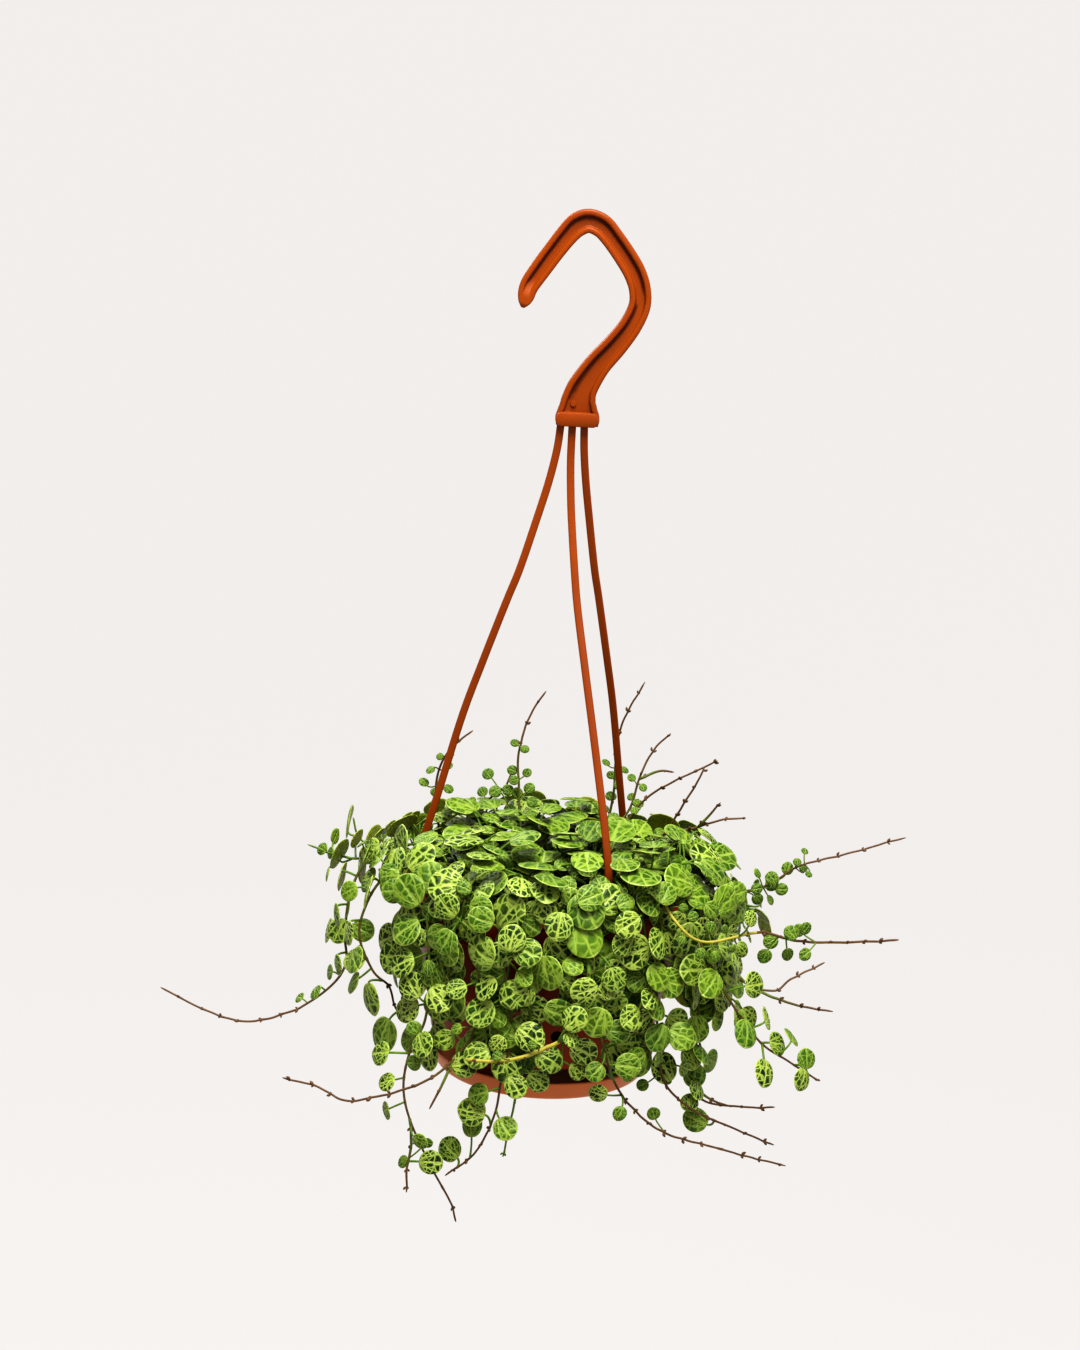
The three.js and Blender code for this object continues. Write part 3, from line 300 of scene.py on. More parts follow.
def square_to(way, facing):
    """The way turned square to the facing, one unit long."""
    return unit(add(way, facing, -dot(way, facing)))


def smooth(value, low, high):
    share = min(max((value - low) / (high - low), 0.0), 1.0)
    return share * share * (3 - 2 * share)


def seeded(start):
    """A row of random numbers from 0 to 1, the same on each run."""
    state = start

    def draw():
        nonlocal state
        state = (state * 1664525 + 1013904223) % 4294967296
        return state / 4294967296

    return draw


def draws_for(job, index=0, tries=0):
    """The random numbers of a job, for one stem and one try."""
    start, per_stem, per_try = SEEDS[job]
    return seeded(start + per_stem * index + per_try * tries)


def stray(draw, fall=0.5):
    """A random push, mostly downward where the fall is over a half."""
    return (draw() - 0.5, draw() - 0.5, draw() - fall)


def polar(azimuth, radius, height):
    angle = math.radians(azimuth)
    return (radius * math.cos(angle), radius * math.sin(angle), height)


def turned(azimuth, out, aside, height):
    """A point at an azimuth, by its distances out from the axis and aside."""
    angle = math.radians(azimuth)
    cos, sin = math.cos(angle), math.sin(angle)
    return (out * cos - aside * sin, out * sin + aside * cos, height)


def curve_point(points, share):
    """A point on the uniform Catmull-Rom curve through the points."""
    last = len(points) - 1
    place = last * share
    index = min(int(place), last - 1)
    w = place - index
    a, b = points[index], points[index + 1]
    before = points[index - 1] if index > 0 else add(a, add(a, b, -1))
    after = points[index + 2] if index + 2 <= last else add(b, add(b, a, -1))
    start = times(add(b, before, -1), 0.5)
    end = times(add(after, a, -1), 0.5)
    square, cube = w * w, w * w * w
    result = add(times(a, 2 * cube - 3 * square + 1), b, 3 * square - 2 * cube)
    result = add(result, start, cube - 2 * square + w)
    return add(result, end, cube - square)


class Spine:
    """A stem's centreline, measured along its length."""

    def __init__(self, points):
        self.points = points
        self.marks = [curve_point(points, i / SPINE_SAMPLES) for i in range(SPINE_SAMPLES + 1)]
        self.lengths = [0.0]
        for before, after in zip(self.marks, self.marks[1:]):
            self.lengths.append(self.lengths[-1] + apart(before, after))
        self.total = self.lengths[-1]

    def at(self, distance):
        i = 1
        while i < SPINE_SAMPLES and self.lengths[i] < distance:
            i += 1
        before, after = self.marks[i - 1], self.marks[i]
        share = (distance - self.lengths[i - 1]) / (self.lengths[i] - self.lengths[i - 1])
        return mix(before, after, share), unit(add(after, before, -1))


class Body:
    """A blade as a disc, or a stem, petiole or strand as a rod, for the clearance test."""

    def __init__(self, stem, girth, middle, bound, facing=None, ends=None):
        self.stem = stem
        self.girth = girth
        self.middle = middle
        self.bound = bound
        self.facing = facing
        self.ends = ends

    def nearest(self, point):
        if self.facing:
            offset = add(point, self.middle, -1)
            offset = add(offset, self.facing, -dot(offset, self.facing))
            length = size_of(offset)
            if length > self.bound:
                offset = times(offset, self.bound / length)
            return add(offset, self.middle)
        a, b = self.ends
        along = add(b, a, -1)
        share = dot(add(point, a, -1), along) / dot(along, along)
        return add(a, along, min(max(share, 0.0), 1.0))


def rod(a, b, girth, stem):
    return Body(stem, girth, times(add(a, b), 0.5), apart(a, b) / 2, ends=(a, b))


def disc(middle, facing, radius, stem):
    return Body(stem, 0.8, middle, radius, facing=facing)


def clash(one, other, spare):
    """Whether two bodies come too near, found by going to and fro between their nearest points."""
    need = one.girth + other.girth + spare
    if apart(one.middle, other.middle) > one.bound + other.bound + need:
        return False
    there = other.middle
    for _ in range(NEAREST_ROUNDS):
        here = one.nearest(there)
        before = there
        there = other.nearest(here)
        if apart(here, there) < need:
            return True
        if apart(before, there) < SETTLED:
            return False
    return False


class Crowd:
    """Everything placed so far, with a quick way to find what is near."""

    def __init__(self):
        self.bodies = []
        self.table = np.zeros((4096, 5))

    def add(self, *bodies):
        for body in bodies:
            if len(self.bodies) == len(self.table):
                self.table = np.concatenate([self.table, np.zeros_like(self.table)])
            blade_radius = body.bound if body.facing else 0
            self.table[len(self.bodies)] = (*body.middle, body.bound + body.girth, blade_radius)
            self.bodies.append(body)

    def near(self, body):
        rows = self.table[:len(self.bodies)]
        reach = rows[:, 3] + (body.bound + body.girth + 1.5)
        offset = rows[:, :3] - np.array(body.middle)
        return [self.bodies[i] for i in np.nonzero((offset * offset).sum(axis=1) < reach * reach)[0]]


def rods_of(spine, girth, stem, every=4):
    marks = spine.marks
    return [rod(marks[i], marks[i + every], girth, stem) for i in range(0, SPINE_SAMPLES, every)]


def inside_holder(point, spare):
    """Whether a point lies too near the pot, the saucer or the soil."""
    radius = math.hypot(point[0], point[1])
    z = point[2]
    if z > RIM_TOP + spare:
        return False
    if radius < SOIL_REACH - spare:
        return z < SOIL_TOP_HEIGHT + spare
    if z > RIM_BOTTOM - spare:
        return radius < RIM_RADIUS + spare
    if z > STEP_HEIGHT - spare:
        return radius < UPPER_WALL_REACH + spare
    if z > BASE_HEIGHT:
        return radius < LOWER_WALL_REACH + spare
    return radius < SAUCER_RADIUS + spare


def outward_at(point):
    """The way out of the plant: upwards over the soil and sideways outside the rim."""
    radius = math.hypot(point[0], point[1])
    share = smooth(radius, 38, 60) * smooth(104 - point[2], 8, 30)
    radial = (point[0] / radius, point[1] / radius, 0.0) if radius > 1 else (1.0, 0.0, 0.0)
    return unit(add(times(radial, share), (0, 0, 1), 1 - 0.8 * share))


class Run:
    """A stem or a branch of one, with the rule for its leaves."""

    def __init__(self, kind, points, girth, leafy=0.0):
        self.kind = kind
        self.leafy = leafy
        self.first, self.spacing, self.large, self.small, self.petiole = KINDS[kind]
        self.girth = girth
        self.spine = Spine(points)
        self.leaves = []


class Leaf:
    """A leaf: its petiole runs from the root on the stem to the joint at the blade's edge."""

    def __init__(self, root, joint, middle, facing, forward, radius, stalk):
        self.root = root
        self.joint = joint
        self.middle = middle
        self.facing = facing
        self.forward = forward
        self.radius = radius
        self.stalk = stalk


def held_leaf(root, place, facing, forward, radius):
    """A leaf with its blade at a place, on a petiole from the root."""
    joint = add(place, forward, -BLADE_REACH * radius)
    return Leaf(root, joint, place, facing, forward, radius, unit(add(joint, root, -1)))


def leaf_trial(run, point, along, side, size, draw):
    """A leaf that leaves the stem at the point, to one side."""
    outward = outward_at(point)
    outward = add(outward, along, -dot(outward, along))
    if size_of(outward) < 0.2:
        outward = add((0.3, 0.2, 1), along, -along[2])
    outward = unit(outward)
    across = times(cross(along, outward), side)
    lean = 0.35 + 1.5 * draw()
    ahead = 0.1 + 0.5 * draw()
    stalk = unit(add(add(across, outward, lean), along, ahead))
    petiole = run.petiole * (0.7 + 1.5 * draw())
    joint = add(point, stalk, petiole + run.girth * 0.5)
    facing = times(outward_at(joint), 1.1)
    facing = unit(add(add(facing, stray(draw, 0.3), 1.1), outward, 0.3))
    forward = add(add(across, along, 0.5 * draw()), stalk, 0.5)
    forward = square_to((forward[0], forward[1], forward[2] - 0.35), facing)
    radius = size * (0.88 + 0.24 * draw())
    middle = add(joint, forward, BLADE_REACH * radius)
    return Leaf(point, joint, middle, facing, forward, radius, stalk)


def leaf_bodies(leaf, run, crowd, stem):
    """The leaf's disc and rod where it is clear of everything, otherwise nothing."""
    blade = disc(leaf.middle, leaf.facing, leaf.radius * 1.03, stem)
    petiole = rod(add(leaf.root, leaf.stalk, run.girth), leaf.joint, PETIOLE_HALF_WIDTH, stem)
    for other in crowd.near(blade):
        own = other.stem == stem
        if own and not other.facing:
            continue
        if clash(blade, other, 0 if own else CLEARANCE):
            return None
    for other in crowd.near(petiole):
        if other.stem != stem and clash(petiole, other, CLEARANCE):
            return None
    across = cross(leaf.facing, leaf.forward)
    for i in range(8):
        angle = i * math.pi / 4
        edge = add(leaf.middle, leaf.forward, leaf.radius * math.cos(angle))
        if inside_holder(add(edge, across, leaf.radius * math.sin(angle)), 1):
            return None
    if inside_holder(leaf.middle, 1.2) or inside_holder(leaf.joint, 0.8):
        return None
    return blade, petiole


def keep_leaf(leaf, run, crowd, stem):
    """Adds the leaf to its stem where it has room, and says whether it has."""
    bodies = leaf_bodies(leaf, run, crowd, stem)
    if bodies:
        run.leaves.append(leaf)
        crowd.add(*bodies)
    return bool(bodies)


def grow_leaves(run, crowd, stem, draw):
    """Leaves along a stem, on one side and the other by turns."""
    distance = run.first * run.spine.total
    side = 1 if draw() < 0.5 else -1
    while distance < run.leafy * run.spine.total - 1:
        share = (distance / run.spine.total - run.first) / (run.leafy - run.first)
        size = run.large + (run.small - run.large) * share * share
        for attempt in range(LEAF_TRIES):
            way = side if attempt % 4 < 3 else -side
            leaf = leaf_trial(run, *run.spine.at(distance), way, size * 0.975 ** attempt, draw)
            if keep_leaf(leaf, run, crowd, stem):
                break
        side = -side
        distance += run.spacing * (0.55 + 0.45 * size / run.large) * (0.85 + 0.3 * draw())


def stacked(place, facing, radius, crowd, spread, depth=16):
    """Whether another blade lies right over or under the place."""
    rows = crowd.table[:len(crowd.bodies)]
    offsets = rows[:, :3] - np.array(place)
    depths = offsets @ np.array(facing)
    flat = (offsets * offsets).sum(axis=1) - depths * depths
    reach = spread * (radius + rows[:, 4])
    return bool(np.any((rows[:, 4] > 0) & (np.abs(depths) < depth) & (flat < reach * reach)))


def carriers(plan, kinds, heights, reach=math.inf):
    """The marks of the stems of some kinds, between two heights and within reach of the holder, each
    with the stem's name and run."""
    low, high = heights
    return [(mark, name, run) for name, runs in plan for run in runs if run.kind in kinds
            for mark in run.spine.marks if low < mark[2] < high and inside_holder(mark, reach)]


def near_carrier(owners, marks, place, choice):
    """The carrier that comes at this turn when they are sorted by their distance from the place."""
    gaps = np.linalg.norm(marks - np.array(place), axis=1)
    return owners[int(np.argsort(gaps)[choice])]


def cover(plan, crowd, start, tries, wanted, sizes, spread, heights):
    """Leaves held out from the crown's and curtain's stems wherever the blades leave a gap."""
    draw = seeded(start)
    large, small = sizes
    roots = carriers(plan, COVER_KINDS, heights, COVER_REACH)
    made = 0
    for _ in range(tries):
        root, name, run = roots[int(draw() * len(roots))]
        radius = small + (large - small) * draw()
        facing = unit(add(outward_at(root), stray(draw, 0.4), 0.9))
        way = square_to(stray(draw, 0.6), facing)
        aside = 2 + 9 * draw()
        lift = 2.2 + 6 * draw()
        place = add(add(root, facing, lift), way, aside)
        forward = square_to(add(way, stray(draw, 0.7), 1.2), facing)
        leaf = held_leaf(root, place, facing, forward, radius)
        reach = apart(leaf.joint, root)
        if not SHORTEST_STALK <= reach <= COVER_STALK or stacked(place, facing, radius, crowd, spread):
            continue
        made += keep_leaf(leaf, run, crowd, name)
        if made == wanted:
            break


def strand_points(index):
    foot = polar(CLIP_AZIMUTHS[index], CLIP_RADIUS, 0)
    points = []
    for fall, height in STRAND_FALLS[index]:
        x, y, _ = mix((STRAND_TOPS[index], 0, 0), foot, fall)
        points.append((x, y, height))
    return points


def stem_points(root, route):
    x, y = root
    return [(x, y, ROOT_DEPTH), (x, y, ROOT_TOP), *route]


def stem_is_clear(spine, girth, crowd):
    for mark in spine.marks:
        outside = mark[2] > CLEAR_FROM or math.hypot(mark[0], mark[1]) > SOIL_REACH
        if outside and inside_holder(mark, girth + 0.9):
            return False
    rods = rods_of(spine, girth, "")
    return not any(clash(mine, other, 0.6) for mine in rods for other in crowd.near(mine))


def curtain_stem(row, index, tries):
    """A stem that goes over the rim and hangs, a little elsewhere at each try."""
    azimuth, reach, low, kind = row
    draw = draws_for("curtain", index, tries)
    turn = azimuth + min(tries, 30) * 0.6 * (draw() - 0.5)
    start = 8 + 34 * draw()
    lift = 76 + 9 * draw()
    sway = 8 * (draw() - 0.5)
    drift = 5 * (draw() - 0.5)
    root_azimuth = turn + 30 * (draw() - 0.5)
    drop = RIM_TOP - low
    route = (
        polar(turn + drift * 0.5, 0.5 * (start + 50), lift),
        polar(turn, 53, 78.5),
        polar(turn, 62.5, 74),
        polar(turn + sway * 0.3, 0.4 * FALL_RADIUS + 0.6 * reach, RIM_TOP - 0.18 * drop - 4),
        polar(turn + sway * 0.8, reach, RIM_TOP - 0.5 * drop - 2),
        polar(turn + sway, 0.25 * FALL_RADIUS + 0.75 * reach, RIM_TOP - 0.8 * drop),
        polar(turn + sway * 0.7, 0.3 * FALL_RADIUS + 0.7 * reach, low),
    )
    return f"stem_curtain_{index + 1:02d}", kind, 1, polar(root_azimuth, start, 0)[:2], route, None


def crown_stem(row, index, tries):
    """A short stem that bends over the soil, a little elsewhere at each try."""
    azimuth, start, end, top = row
    draw = draws_for("crown", index, tries)
    bend = 34 + 16 * draw()
    shift = min(tries + 8, 40) * (draw() - 0.5)
    height = top + 4 * (draw() - 0.5)
    route = (
        polar(azimuth + shift, start + 4, height - 6),
        polar(azimuth + shift + bend * 0.4, 0.5 * (start + end), height),
        polar(azimuth + shift + bend, end, height - 1),
        polar(azimuth + shift + bend * 1.6, end + 3, height - 4),
    )
    return f"stem_crown_{index + 1}", "crown", 1, polar(azimuth + shift, start, 0)[:2], route, None


def plant_plan():
    """Every stem with its leaves, by the same rule and draws as the solids have."""
    crowd = Crowd()
    for index, azimuth in enumerate(CLIP_AZIMUTHS):
        points = strand_points(index)
        for before, after in zip(points, points[1:]):
            crowd.add(rod(before, after, STRAND_KEEP, "hanger"))
        low, high = (polar(azimuth, CLIP_RADIUS, height) for height in (CLIP_LOW, CLIP_HIGH))
        crowd.add(rod(low, high, CLIP_KEEP, "hanger"))
    plan = []

    def settle(name, kind, leafy, root, route, branch):
        runs = [Run(kind, stem_points(root, route), WISP_GIRTH if kind == "wisp" else STEM_GIRTH, leafy)]
        if branch:
            runs.append(Run(branch[0], list(branch[1]), WISP_GIRTH))
        for run in runs:
            crowd.add(*rods_of(run.spine, run.girth, name))
        plan.append((name, runs))

    def settle_by_rule(make, row, index):
        for tries in range(STEM_TRIES):
            stem = make(row, index, tries)
            if stem_is_clear(Spine(stem_points(stem[3], stem[4])), STEM_GIRTH, crowd):
                settle(*stem)
                return

    for stem in FEATURE_STEMS:
        settle(*stem)
    for index, row in enumerate(CROWN_STEMS):
        settle_by_rule(crown_stem, row, index)
    for index, row in enumerate(CURTAIN_STEMS):
        settle_by_rule(curtain_stem, row, index)
    cover(plan, crowd, *RIM_COVER)
    for index, (name, runs) in enumerate(plan):
        draw = draws_for("leaves", index)
        for run in runs:
            grow_leaves(run, crowd, name, draw)
    cover(plan, crowd, *GAP_COVER)
    return plan, crowd


# Forms gathered into meshes
class Sheaf:
    """Vertices, faces and marks of many small forms, gathered into one mesh."""

    def __init__(self):
        self.places = []
        self.faces = []
        self.marks = {}
        self.count = 0

    def add(self, places, faces, **marks):
        self.places.append(places)
        self.faces.extend(tuple(corner + self.count for corner in face) for face in faces)
        for name, values in marks.items():
            self.marks.setdefault(name, []).append(np.broadcast_to(values, (len(places), 3)))
        self.count += len(places)

    def mesh(self, name):
        mesh = bpy.data.meshes.new(name)
        places = np.concatenate(self.places)
        places = (places - (0, 0, HANG_HEIGHT)) * MM
        mesh.from_pydata(places.tolist(), [], self.faces)
        for title, values in self.marks.items():
            attribute = mesh.attributes.new(title, "FLOAT_VECTOR", "POINT")
            attribute.data.foreach_set("vector", np.concatenate(values).astype(np.float32).ravel())
        return mesh


def settle_piece(name, mesh, finish, nodes=(), sharp=None):
    """Adds the mesh as a piece of the object that rides on it and stands for its nodes."""
    piece = bpy.data.objects.new(name, mesh)
    bpy.context.scene.collection.objects.link(piece)
    mesh.materials.append(finish)
    mesh.shade_smooth()
    if sharp:
        mesh.set_sharp_from_angle(angle=math.radians(sharp))
    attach(piece, "root")
    if nodes:
        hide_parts(*nodes)
    return piece


def band_faces(rings, sides, first=0):
    """The faces between neighbouring rings of points, of which the first has this number."""
    faces = []
    for ring in range(rings - 1):
        for side in range(sides):
            a = first + ring * sides + side
            b = first + ring * sides + (side + 1) % sides
            faces.append((a, b, b + sides, a + sides))
    return faces


def fan_faces(rings, spokes):
    """The faces of rings of points about a middle point, which is the first."""
    faces = [(0, 1 + side, 1 + (side + 1) % spokes) for side in range(spokes)]
    return faces + [(a, d, c, b) for a, b, c, d in band_faces(rings, spokes, 1)]


def tube_faces(rings, sides):
    """The faces of a tube that is closed at both ends."""
    ends = [tuple(reversed(range(sides))), tuple(range((rings - 1) * sides, rings * sides))]
    return band_faces(rings, sides) + ends


def directions(line):
    """The direction of a line at each of its points."""
    along = np.gradient(line, axis=0)
    return along / np.linalg.norm(along, axis=1)[:, None]


def tube(line, girths, sides):
    """Points of a round tube along a line, with its rings turned as little as possible."""
    line = np.asarray(line, float)
    along = directions(line)
    side = np.cross(along[0], (0, 0, 1) if abs(along[0][2]) < 0.9 else (1, 0, 0))
    angles = np.arange(sides) * 2 * math.pi / sides
    rings = []
    for place, forward, girth in zip(line, along, np.asarray(girths, float)):
        side = side - forward * side.dot(forward)
        side /= np.linalg.norm(side)
        other = np.cross(forward, side)
        round_ring = np.outer(np.cos(angles), side) + np.outer(np.sin(angles), other)
        rings.append(place + girth * round_ring)
    return np.concatenate(rings)


def filleted(corners, steps=4):
    """Rounds each corner (x, y, radius) of a closed outline."""
    outline = []
    count = len(corners)
    for i, (x, y, radius) in enumerate(corners):
        here = np.array((x, y), float)
        if not radius:
            outline.append(here)
            continue
        before = np.array(corners[i - 1][:2], float) - here
        after = np.array(corners[(i + 1) % count][:2], float) - here
        reach = min(radius, 0.49 * np.linalg.norm(before), 0.49 * np.linalg.norm(after))
        start = here + before / np.linalg.norm(before) * reach
        end = here + after / np.linalg.norm(after) * reach
        for step in range(steps + 1):
            share = step / steps
            outline.append((1 - share) ** 2 * start + 2 * share * (1 - share) * here + share ** 2 * end)
    return np.array(outline)


def lathed(name, outline, segments):
    """A solid of revolution. The outline starts and ends on the axis."""
    radii, heights = outline[1:-1, 0], outline[1:-1, 1]
    angles = np.arange(segments) * 2 * math.pi / segments
    rings = np.stack([
        np.outer(radii, np.cos(angles)), np.outer(radii, np.sin(angles)),
        np.repeat(heights[:, None], segments, axis=1),
    ], axis=2).reshape(-1, 3)
    count = len(radii)
    faces = band_faces(count, segments)
    low, high = len(rings), len(rings) + 1
    top = (count - 1) * segments
    for side in range(segments):
        following = (side + 1) % segments
        faces.append((low, following, side))
        faces.append((high, top + side, top + following))
    sheaf = Sheaf()
    ends = [(0, 0, outline[0, 1]), (0, 0, outline[-1, 1])]
    sheaf.add(np.concatenate([rings, ends]), faces)
    return sheaf.mesh(name)


def block(size, middle, azimuth):
    """A box in millimetres, placed at a radius and height and turned about the axis."""
    halves = (-0.5, 0.5)
    corners = np.array([(x, y, z) for x in halves for y in halves for z in halves]) * size + middle
    cos, sin = math.cos(math.radians(azimuth)), math.sin(math.radians(azimuth))
    turn = np.array([[cos, -sin, 0], [sin, cos, 0], [0, 0, 1]])
    faces = [(0, 1, 3, 2), (4, 6, 7, 5), (0, 4, 5, 1), (2, 3, 7, 6), (0, 2, 6, 4), (1, 5, 7, 3)]
    return corners @ turn.T, faces


def drill(radius, start, end, sides=24):
    return tube([start, end], [radius, radius], sides), tube_faces(2, sides)


def cut_away(mesh, forms):
    """The mesh with the forms cut out of it."""
    sheaf = Sheaf()
    for places, faces in forms:
        sheaf.add(places, faces)
    body = bpy.data.objects.new("blank", mesh)
    tool = bpy.data.objects.new("cutter", sheaf.mesh("cutter"))
    for part in (body, tool):
        bpy.context.scene.collection.objects.link(part)
    cutting = body.modifiers.new("cut", "BOOLEAN")
    cutting.operation = "DIFFERENCE"
    cutting.solver = "EXACT"
    cutting.object = tool
    shown = body.evaluated_get(bpy.context.evaluated_depsgraph_get())
    result = bpy.data.meshes.new_from_object(shown)
    for part in (body, tool):
        bpy.data.objects.remove(part)
    return result


# Finishes
def tint(code):
    """A colour code as linear red, green, blue and alpha."""
    shares = [int(code[i:i + 2], 16) / 255 for i in (0, 2, 4)]
    linear = [share / 12.92 if share <= 0.04045 else ((share + 0.055) / 1.055) ** 2.4 for share in shares]
    return (*linear, 1.0)


class Value:
    """A node's output, on which arithmetic adds Math nodes."""

    def __init__(self, finish, socket):
        self.finish = finish
        self.socket = socket

    def __add__(self, other):
        return self.finish.maths("ADD", self, other)

    def __radd__(self, other):
        return self.finish.maths("ADD", other, self)

    def __sub__(self, other):
        return self.finish.maths("SUBTRACT", self, other)

    def __rsub__(self, other):
        return self.finish.maths("SUBTRACT", other, self)

    def __mul__(self, other):
        return self.finish.maths("MULTIPLY", self, other)

    def __rmul__(self, other):
        return self.finish.maths("MULTIPLY", other, self)

    def __truediv__(self, other):
        return self.finish.maths("DIVIDE", self, other)

    def __rtruediv__(self, other):
        return self.finish.maths("DIVIDE", other, self)

    def __abs__(self):
        return self.finish.maths("ABSOLUTE", self)


class Finish:
    """A material under construction."""

    def __init__(self, name):
        self.material = bpy.data.materials.new(name)
        self.material.use_nodes = True
        self.tree = self.material.node_tree
        self.tree.nodes.clear()

    def node(self, kind, settings=None, inputs=None, output=0):
        """Adds a node of a kind, makes its settings, then fills its sockets with values or links."""
        made = self.tree.nodes.new("ShaderNode" + kind)
        for name, setting in (settings or {}).items():
            setattr(made, name, setting)
        for name, value in (inputs or {}).items():
            if isinstance(value, Value):
                self.tree.links.new(value.socket, made.inputs[name])
            else:
                made.inputs[name].default_value = value
        return Value(self, made.outputs[output]) if made.outputs else None

    def maths(self, operation, *values):
        return self.node("Math", {"operation": operation}, dict(enumerate(values)))

    def larger(self, first, second):
        return self.maths("MAXIMUM", first, second)

    def place(self):
        return self.node("TexCoord", output="Object")

    def mark(self, name):
        """A mark's three values."""
        found = self.node("Attribute", {"attribute_name": name}, output="Vector")
        return [self.node("SeparateXYZ", None, {0: found}, axis) for axis in "XYZ"]

    def joined(self, x, y, z):
        return self.node("CombineXYZ", None, {0: x, 1: y, 2: z})

    def cloud(self, place, scale, detail=3.0, roughness=0.5):
        sockets = {"Vector": place, "Scale": scale, "Detail": detail, "Roughness": roughness}
        return self.node("TexNoise", None, sockets, "Fac")

    def step(self, value, low, high):
        """Rises smoothly from 0 at low to 1 at high."""
        sockets = {"Value": value, "From Min": low, "From Max": high}
        return self.node("MapRange", {"interpolation_type": "SMOOTHSTEP"}, sockets)

    def blend(self, share, first, second):
        """Mixes two colours. Sockets 6, 7 and the output 2 are the node's colours."""
        sockets = {"Factor": share, 6: first, 7: second}
        return self.node("Mix", {"data_type": "RGBA", "clamp_factor": True}, sockets, 2)

    def bump(self, height, depth, strength=1.0):
        return self.node("Bump", None, {"Height": height, "Distance": depth, "Strength": strength})

    def surface(self, **inputs):
        """Closes the material with its shader. Socket names have underscores for spaces."""
        sockets = {name.replace("_", " "): value for name, value in inputs.items()}
        shader = self.node("BsdfPrincipled", None, sockets)
        self.node("OutputMaterial", None, {"Surface": shader})
        return self.material


def leaf_finish():
    """A net of pale veins with dark patches between, plainer on old leaves, and a paler underside."""
    finish = Finish("turtle_shell_leaf")
    x, y, seed = finish.mark("leaf_place")
    age, side, tone = finish.mark("leaf_look")
    seed_place = finish.joined(x, y, seed * 7)
    warp = finish.cloud(seed_place, 2.2, 2.0)
    warp_across = finish.cloud(finish.joined(x, y, seed * 7 + 40), 2.2, 2.0)
    along = x + (warp - 0.5) * 0.3
    across = y + (warp_across - 0.5) * 0.3
    from_base = along + 1.12
    spread = finish.maths("ARCTAN2", across, from_base)
    reach = finish.maths("SQRT", across * across + from_base * from_base)
    net_place = finish.joined(spread * 3.1, reach * 2.1, seed * 11)
    net_sockets = {"Vector": net_place, "Scale": 1.0, "Randomness": 0.85}
    net = finish.node("TexVoronoi", {"feature": "DISTANCE_TO_EDGE"}, net_sockets, "Distance")
    midrib = abs(across) / (0.085 - 0.035 * x)
    ribs = abs(abs(spread) - (0.52 - 0.07 * reach)) * reach
    outer_ribs = abs(abs(spread) - (1.02 - 0.16 * reach)) * reach
    net_lines = 1 - finish.step(net, 0.018, 0.13)
    main_lines = finish.larger(1 - finish.step(midrib, 0.4, 1.4), (1 - finish.step(ribs, 0.015, 0.08)) * 0.9)
    main_lines = finish.larger(main_lines, (1 - finish.step(outer_ribs, 0.015, 0.08)) * 0.8)
    vein = finish.larger(net_lines * (1 - 0.5 * age), main_lines)
    rim = finish.step(finish.maths("SQRT", x * x + y * y), 0.9, 0.98)
    patch = finish.step(net, 0.06, 0.2) * (1 - vein)
    blotch = finish.step(finish.cloud(seed_place, 3.0, 3.0), 0.32, 0.52)
    young_dark = patch * (0.35 + 0.65 * blotch) * (1 - rim)

    fresh = finish.blend(tone, tint("34520e"), tint("526a16"))
    ripe = finish.blend(tone, tint("38560e"), tint("5e7618"))
    ground = finish.blend(age, fresh, ripe)
    dark = finish.blend(age, tint("031402"), tint("1c3e08"))
    pale = finish.blend(age, tint("9aa852"), tint("8c9e48"))
    shell = finish.blend(young_dark * (1 - 0.5 * age), ground, dark)
    shell = finish.blend(vein * (0.9 - 0.4 * age), shell, pale)
    shell = finish.blend(rim * 0.6, shell, tint("a6b462"))
    broad = finish.cloud(seed_place, 1.1, 2.0)
    shell = finish.blend(finish.step(broad, 0.45, 0.8) * 0.3, shell, tint("8a9c3a"))
    under_pale = finish.blend(tone, tint("5c741a"), tint("868a2c"))
    under = finish.blend(vein * 0.35, under_pale, tint("98a048"))
    colour = finish.blend(finish.step(side, -0.35, 0.1), under, shell)

    grain = finish.cloud(finish.place(), 1800.0, 2.0)
    quilt = finish.step(net, 0.0, 0.4) * 0.7 - vein * 0.5 - (1 - finish.step(midrib, 0.3, 2.2)) * 0.8
    relief = quilt + grain * 0.12
    return finish.surface(
        Base_Color=colour, Roughness=0.36 + 0.16 * warp - 0.06 * vein,
        Normal=finish.bump(relief, 0.00035, 0.6), Specular_IOR_Level=0.2,
    )


def stem_finish():
    """Green at the root, brown toward the tip of the older stems, and gold where a stem says so."""
    finish = Finish("turtle_stem")
    share, tone, _ = finish.mark("stem_look")
    place = finish.place()
    streak = finish.cloud(place, 420.0, 3.0)
    green = finish.blend(streak, tint("3c5412"), tint("607a26"))
    brown = finish.blend(streak, tint("38261a"), tint("6a4c2c"))
    gold = finish.blend(streak, tint("807a2c"), tint("a09644"))
    woody = finish.step(share + (finish.cloud(place, 90.0) - 0.5) * 0.5, 0.25, 0.8)
    colour = finish.blend(finish.step(tone, 0.45, 0.55) * (0.35 + 0.65 * woody), green, brown)
    colour = finish.blend(finish.step(tone, 1.5, 1.6), colour, gold)
    bumps = finish.cloud(place, 900.0, 2.0)
    return finish.surface(
        Base_Color=colour, Roughness=0.42 + 0.2 * streak, Normal=finish.bump(bumps, 0.0002, 0.5),
        Specular_IOR_Level=0.2,
    )


